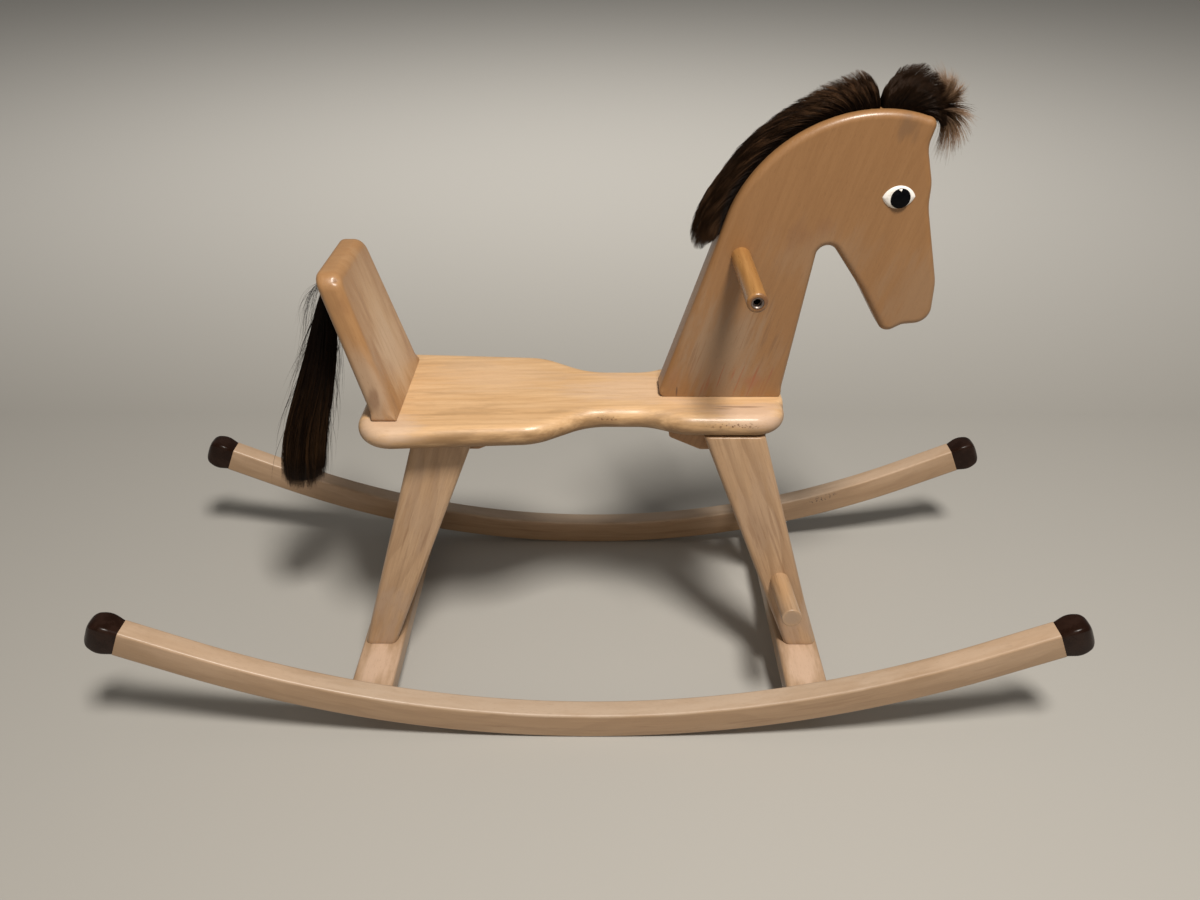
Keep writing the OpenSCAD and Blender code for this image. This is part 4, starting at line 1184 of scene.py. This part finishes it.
def hair_on_crest(random, count, angles, outline, lag, rings, side, in_lock, gather):
    """Hairs rooted between two angles of the crest, on one side of its middle. s runs along the
    roots, and fan, from 0 at the middle to 1 outside, tilts a hair out sideways and shortens its
    rise. A lock has in_lock hairs, whose tips gather by the share gather."""
    s = np.sort(random.random(count))
    root, out = crest_root(angles[0] + (angles[1] - angles[0]) * s)
    fan = random.random(count) ** 0.8
    row = np.floor(s * count / (2 * in_lock) + random.random(count) * 1.5).astype(int)
    lock = row * 2 + (fan > 0.5)
    lean = random.normal(0, 1, (lock.max() + 1, 3))[lock]
    shade = 0.5 + 0.22 * random.normal(0, 1, lock.max() + 1)[lock] + 0.12 * random.normal(0, 1, count)
    shade = np.clip(shade, 0, 1)
    tip_s = s - lag * np.sin(math.pi * s) ** 0.7
    tip_s = tip_s + 0.012 * random.normal(0, 1, count) + 0.006 * lean[:, 0]
    tip = outline(np.clip(tip_s, 0, 1))
    tilt = np.radians(widest_tilt) * fan
    reach = 0.42 + 0.58 * np.cos(tilt) + 0.03 * random.normal(0, 1, count) + 0.025 * lean[:, 2]
    tip = root + (tip - root) * np.clip(reach - 0.05 * random.random(count) ** 4, 0.2, 1.0)[:, None]
    tip = gathered(tip, lock, gather)
    length = np.linalg.norm(tip - root, axis=1)
    lead = root + out * (0.55 * length * np.cos(tilt * 0.8))[:, None]
    y_root = side * mane_half_root * fan
    y_tip = side * (mane_half_tip * np.sin(tilt) ** 0.9) * (0.85 + 0.15 * random.random(count))
    y_tip = y_tip + 0.0006 * lean[:, 1]
    y_lead = y_root + (y_tip - y_root) * 0.75
    root = across_and_flat(root - out * sewn_depth, y_root)
    return bent(root, across_and_flat(lead, y_lead), across_and_flat(tip, y_tip), rings), shade


# %% Mane
random = np.random.default_rng(20)
coarse = (0.0004, 0.00075)
for side, side_name in sides:
    paths, shade = hair_on_crest(random, 5600, mane_span, mane_outline, 0.10, 6, side, 18, 0.45)
    hair_tubes(f"mane_hair_{side_name}", paths, random.uniform(*coarse, len(paths)), shade,
               mane_finish, "horse")


def core_rings(angles, outline, share, half_width, lag):
    """A dark core inside the hair: an oval across the crest, from just under the roots to share of
    the way to the outline."""
    s = np.linspace(0.02, 0.98, 40)
    root, out = crest_root(angles[0] + (angles[1] - angles[0]) * s)
    tip = root + (outline(np.clip(s - lag * np.sin(math.pi * s) ** 0.7, 0, 1)) - root) * share
    root = root - out * 0.003
    middle, half = (root + tip) / 2, (tip - root) / 2
    swell = np.sqrt(np.clip(1 - np.abs(2 * s - 1) ** 6, 0.02, 1))
    turn = np.linspace(0, 2 * math.pi, 32, endpoint=False)
    flat = middle[:, None] + half[:, None] * (np.sin(turn)[None] * swell[:, None])[..., None]
    across = half_width * np.cos(turn)[None] * swell[:, None] * np.ones_like(s)[:, None]
    return np.stack([flat[..., 0], across, flat[..., 1]], -1)


mane_core = core_rings(mane_span, mane_outline, 0.72, 0.0068, 0.06)
piece("mane_core", mane_core, backing, "horse", ["mane"])

# %% [markdown]
# ## Forelock
#
# The forelock is the last stretch of the same strip. It leans forward where the mane leans back, so
# the two part in a V over the crest, and that is only a lag with the other sign. Its locks are
# thicker and darker. The hairs at its front have worn thin and light, and hang over the forehead as
# a fringe of separate wisps, so they are a piece of their own with a paler finish.

# %% Forelock
for side, side_name in sides:
    paths, shade = hair_on_crest(random, 2600, forelock_span, forelock_outline, -0.06, 6, side, 60, 0.55)
    hair_tubes(f"forelock_hair_{side_name}", paths, random.uniform(*coarse, len(paths)), 0.45 * shade,
               mane_finish, "horse")


# %% Fringe
fringe_ends = curve_through([
    (0.299, 0.629), (0.317, 0.614), (0.3265, 0.597), (0.3275, 0.582), (0.321, 0.567), (0.309, 0.556)])


def fringe(random, wisps, in_wisp):
    """Light wisps over the forehead: each wisp leaves the front of the crest, swings forward and ends
    at its own place along a drooping line, and its hairs spread a little toward their tips."""
    along = np.repeat(np.sort(random.uniform(0, 1, wisps)), in_wisp)
    count = wisps * in_wisp
    own = lambda size: np.repeat(random.normal(0, size, (wisps, 3)), in_wisp, axis=0)
    root = crest_root(77.0 - 3.5 * along + random.normal(0, 0.5, count))[0]
    across = random.normal(0, 0.004, wisps).repeat(in_wisp)
    swing = np.stack([0.030 - 0.006 * along, 0.016 - 0.012 * along], -1)
    lead = across_and_flat(root + swing, across * 1.5) + own(0.0012)
    spread = np.array([0.0022, 0.0030, 0.0028])
    tip = across_and_flat(fringe_ends(along), across * 2.6) + own(0.0020)
    tip = tip + random.normal(0, 1, (count, 3)) * spread
    shade = np.clip(random.normal(0.85, 0.20, wisps).repeat(in_wisp), 0.2, 1)
    return bent(across_and_flat(root, across * 0.5), lead, tip, 9), shade


paths, shade = fringe(random, 60, 26)
hair_tubes("forelock_fringe", paths, random.uniform(0.0003, 0.0005, len(paths)), shade, wisp_finish,
           "horse")
forelock_core = core_rings(forelock_span, forelock_outline, 0.55, 0.006, -0.04)
piece("forelock_core", forelock_core, backing, "horse", ["forelock"])

# %% [markdown]
# ## Tail
#
# The tail is a long bundle of hair out of a hole high in the backrest. It is thin at the root and
# spreads toward the trimmed end. The hairs run from one point, the tail's pivot, so that the whole
# bundle can swing about it. A hair's place in the bundle is a radius and an angle, and the bundle's
# middle line and half widths are curves of the distance down it.

# %% Tail sizes
tail_joint = next(j for j in frame["joints"] if j["name"] == "tail_swing")
pivot = np.array(tail_joint["pos_m"])
tail_low = 0.200
tail_drop = tail_low - pivot[2]
down = np.linspace(0, 1, 8)
tail_middle_x = np.array([0, -0.007, -0.0155, -0.027, -0.0385, -0.050, -0.0575, -0.062])
tail_half_x = np.array([0.003, 0.0110, 0.0150, 0.0180, 0.0205, 0.0220, 0.0225, 0.0215])
tail_half_y = np.array([0.003, 0.0095, 0.0125, 0.0150, 0.0175, 0.0190, 0.0195, 0.0185])
print(f"tail: {-tail_drop:.3f} m long from its pivot, {2 * tail_half_x.max():.3f} m through")


def down_tail(t):
    """The tail's middle line and its two half widths at the share t of the way down it."""
    return (np.interp(t, down, values) for values in (tail_middle_x, tail_half_x, tail_half_y))


def tail_paths(random, count, rings, inner, outer):
    """Hairs of the tail between two shares of its radius: each keeps its share and angle all the way
    down, wanders with its lock, and ends a little higher the further out it is."""
    share = np.sqrt(random.uniform(inner ** 2, outer ** 2, count))
    angle = random.uniform(0, 2 * math.pi, count)
    order = np.argsort(angle)
    share, angle = share[order], angle[order]
    in_lock = 26
    lock = np.floor(np.arange(count) / in_lock + random.normal(0, 0.6, count)).astype(int)
    lock -= lock.min()
    locks = lock.max() + 1
    wander = random.normal(0, 1, (locks, 2))[lock] * 0.0021 + random.normal(0, 0.0005, (count, 2))
    shade = 0.45 + 0.35 * random.normal(0, 1, locks)[lock] + 0.12 * random.normal(0, 1, count)
    end = 1 - 0.05 * share ** 4 - 0.08 * random.random(count) ** 2 - 0.05 * random.random(locks)[lock]
    t = np.linspace(0, 1, rings)[None] * end[:, None]
    turn, phase = random.normal(0, 0.34, locks)[lock], 6.3 * random.random(locks)[lock]
    turn = (turn + random.normal(0, 0.05, count))[:, None]
    angle = angle[:, None] + turn * t + 0.10 * np.sin(9 * t + phase[:, None])
    middle, half_x, half_y = down_tail(t)
    x = pivot[0] + middle + share[:, None] * half_x * np.cos(angle) + wander[:, :1] * t ** 1.5
    y = share[:, None] * half_y * np.sin(angle) + wander[:, 1:] * t ** 1.5
    return np.stack([x, y, pivot[2] + tail_drop * t], -1), np.clip(shade, 0, 1)


# %% Tail
for name, count, inner, outer in (("tail_hair_outer", 3700, 0.72, 1.0),
                                  ("tail_hair_inner", 3000, 0.2, 0.78)):
    paths, shade = tail_paths(random, count, 9, inner, outer)
    thickness = random.uniform(0.0004, 0.0008, count)
    hair_tubes(name, paths, thickness, shade, tail_finish, "tail")


def tail_core_rings(core=0.7):
    """The dark middle of the tail: ovals down its middle line, at core of its half widths."""
    t = np.linspace(0.015, 0.93, 30)
    turn = np.linspace(0, 2 * math.pi, 28, endpoint=False)
    middle, half_x, half_y = (values[:, None] for values in down_tail(t))
    x = pivot[0] + middle + core * half_x * np.cos(turn)
    z = np.broadcast_to((pivot[2] + tail_drop * t)[:, None], x.shape)
    return np.stack([x, core * half_y * np.sin(turn), z], -1)


piece("tail_core", tail_core_rings(), backing, "tail", ["tail"])

# %% [markdown]
# ## Strays and loose hairs
#
# A few thin hairs have slipped out of the binding and stand up at the root in small bunches, and
# others lie proud of the tail all the way down. Without them the tail's outline is as clean as a
# brush's. They are the same bent tubes, only thinner, and they swing with the tail.

# %% Stray hairs at the root of the tail
bunches, in_bunch = 12, 7
strays = bunches * in_bunch
lift = np.repeat(random.uniform(0.05, 1.0, bunches), in_bunch) ** 1.2 + random.normal(0, 0.05, strays)
root = pivot + np.stack([random.uniform(-0.003, 0.001, strays), random.normal(0, 0.003, strays),
                         random.uniform(0, 0.004, strays)], -1)
lead = pivot + np.stack([-0.032 * lift - 0.004, random.normal(0, 0.010, strays),
                         0.003 - 0.04 * (1 - lift)], -1)
tip = pivot + np.stack([-0.026 * lift - 0.016, random.normal(0, 0.014, strays),
                        -random.uniform(0.03, 0.16, strays)], -1)
hair_tubes("tail_strays", bent(root, lead, tip, 12), random.uniform(0.00012, 0.00022, strays),
           random.random(strays), tail_finish, "tail")

# %% Loose hairs down the tail
loose = 240
angle = random.uniform(0, 2 * math.pi, loose)
start, length = random.uniform(0.05, 0.62, loose), random.uniform(0.22, 0.45, loose)


def beside_tail(t, share):
    """Places at the distance t down the tail, at share of its half widths from its middle line."""
    middle, half_x, half_y = down_tail(t)
    x = middle + share * half_x * np.cos(angle)
    return pivot + np.stack([x, share * half_y * np.sin(angle), tail_drop * t], -1)


proud = random.uniform(1.05, 1.55, loose)
root, lead = beside_tail(start, 0.85), beside_tail(start + 0.5 * length, 1.1 * proud)
tip = beside_tail(np.minimum(start + length, 0.99), proud * random.uniform(0.75, 1.2, loose))
hair_tubes("tail_loose", bent(root, lead, tip, 8), random.uniform(0.00016, 0.00032, loose),
           random.random(loose), tail_finish, "tail")

# %% [markdown]
# ## Root of the tail
#
# Where the hair comes out of its hole it is whipped with thread. That is a small knob of turns side
# by side, so its profile is a round with a fine ripple on it, spun like the dowels. It sits on the
# pivot and rides on the body between the horse and the tail, so it turns only with the swing.

# %% Root of the tail
hole_out = np.array([-math.cos(back_lean), 0, -math.sin(back_lean)])
knob_half, knob_r, thread_relief, thread_turns = 0.0075, 0.0078, 0.00035, 22
bind_ends = [(-knob_half, 0.001), (-0.0072, 0.0035)]
bind_profile = bind_ends + [
    (knob_half * math.sin(a), knob_r * math.cos(a) + thread_relief * math.cos(thread_turns * a))
    for a in np.linspace(-1.15, 1.15, 60)] + [(-along, radius) for along, radius in bind_ends[::-1]]
piece("tail_whipping", turned(bind_profile, pivot, hole_out + np.array([0, 0, -1.0])), backing,
      "tail_root", ["tail_binding"])

# %% [markdown]
# ## What stays hidden
#
# Dowels, screws and the threaded rod hold the horse together but don't show. They stay as the frame
# made them, with a finish of their own, so that the horse also looks right when it is taken apart.

# %% Finishes of the carried-over nodes
bare_tones = ((0.62, 0.47, 0.32), (0.55, 0.40, 0.26), (0.38, 0.26, 0.16))
bare_dowel = wood("bare_dowel_wood", (1, 0, 0), bare_tones, gloss=0.6)
carried = (
    (bare_dowel, ("runner_dowels", "leg_dowels", "neck_dowels", "backrest_dowels")),
    (steel, ("foot_screws", "batten_screws", "neck_screws", "handle_rod")),
    (backing, ("mane_tape", "tail_plug")))
for finish, nodes in carried:
    for node in nodes:
        frame["nodes"][node].data.materials.clear()
        frame["nodes"][node].data.materials.append(finish)
    print(f"{finish.name}:", ", ".join(nodes))
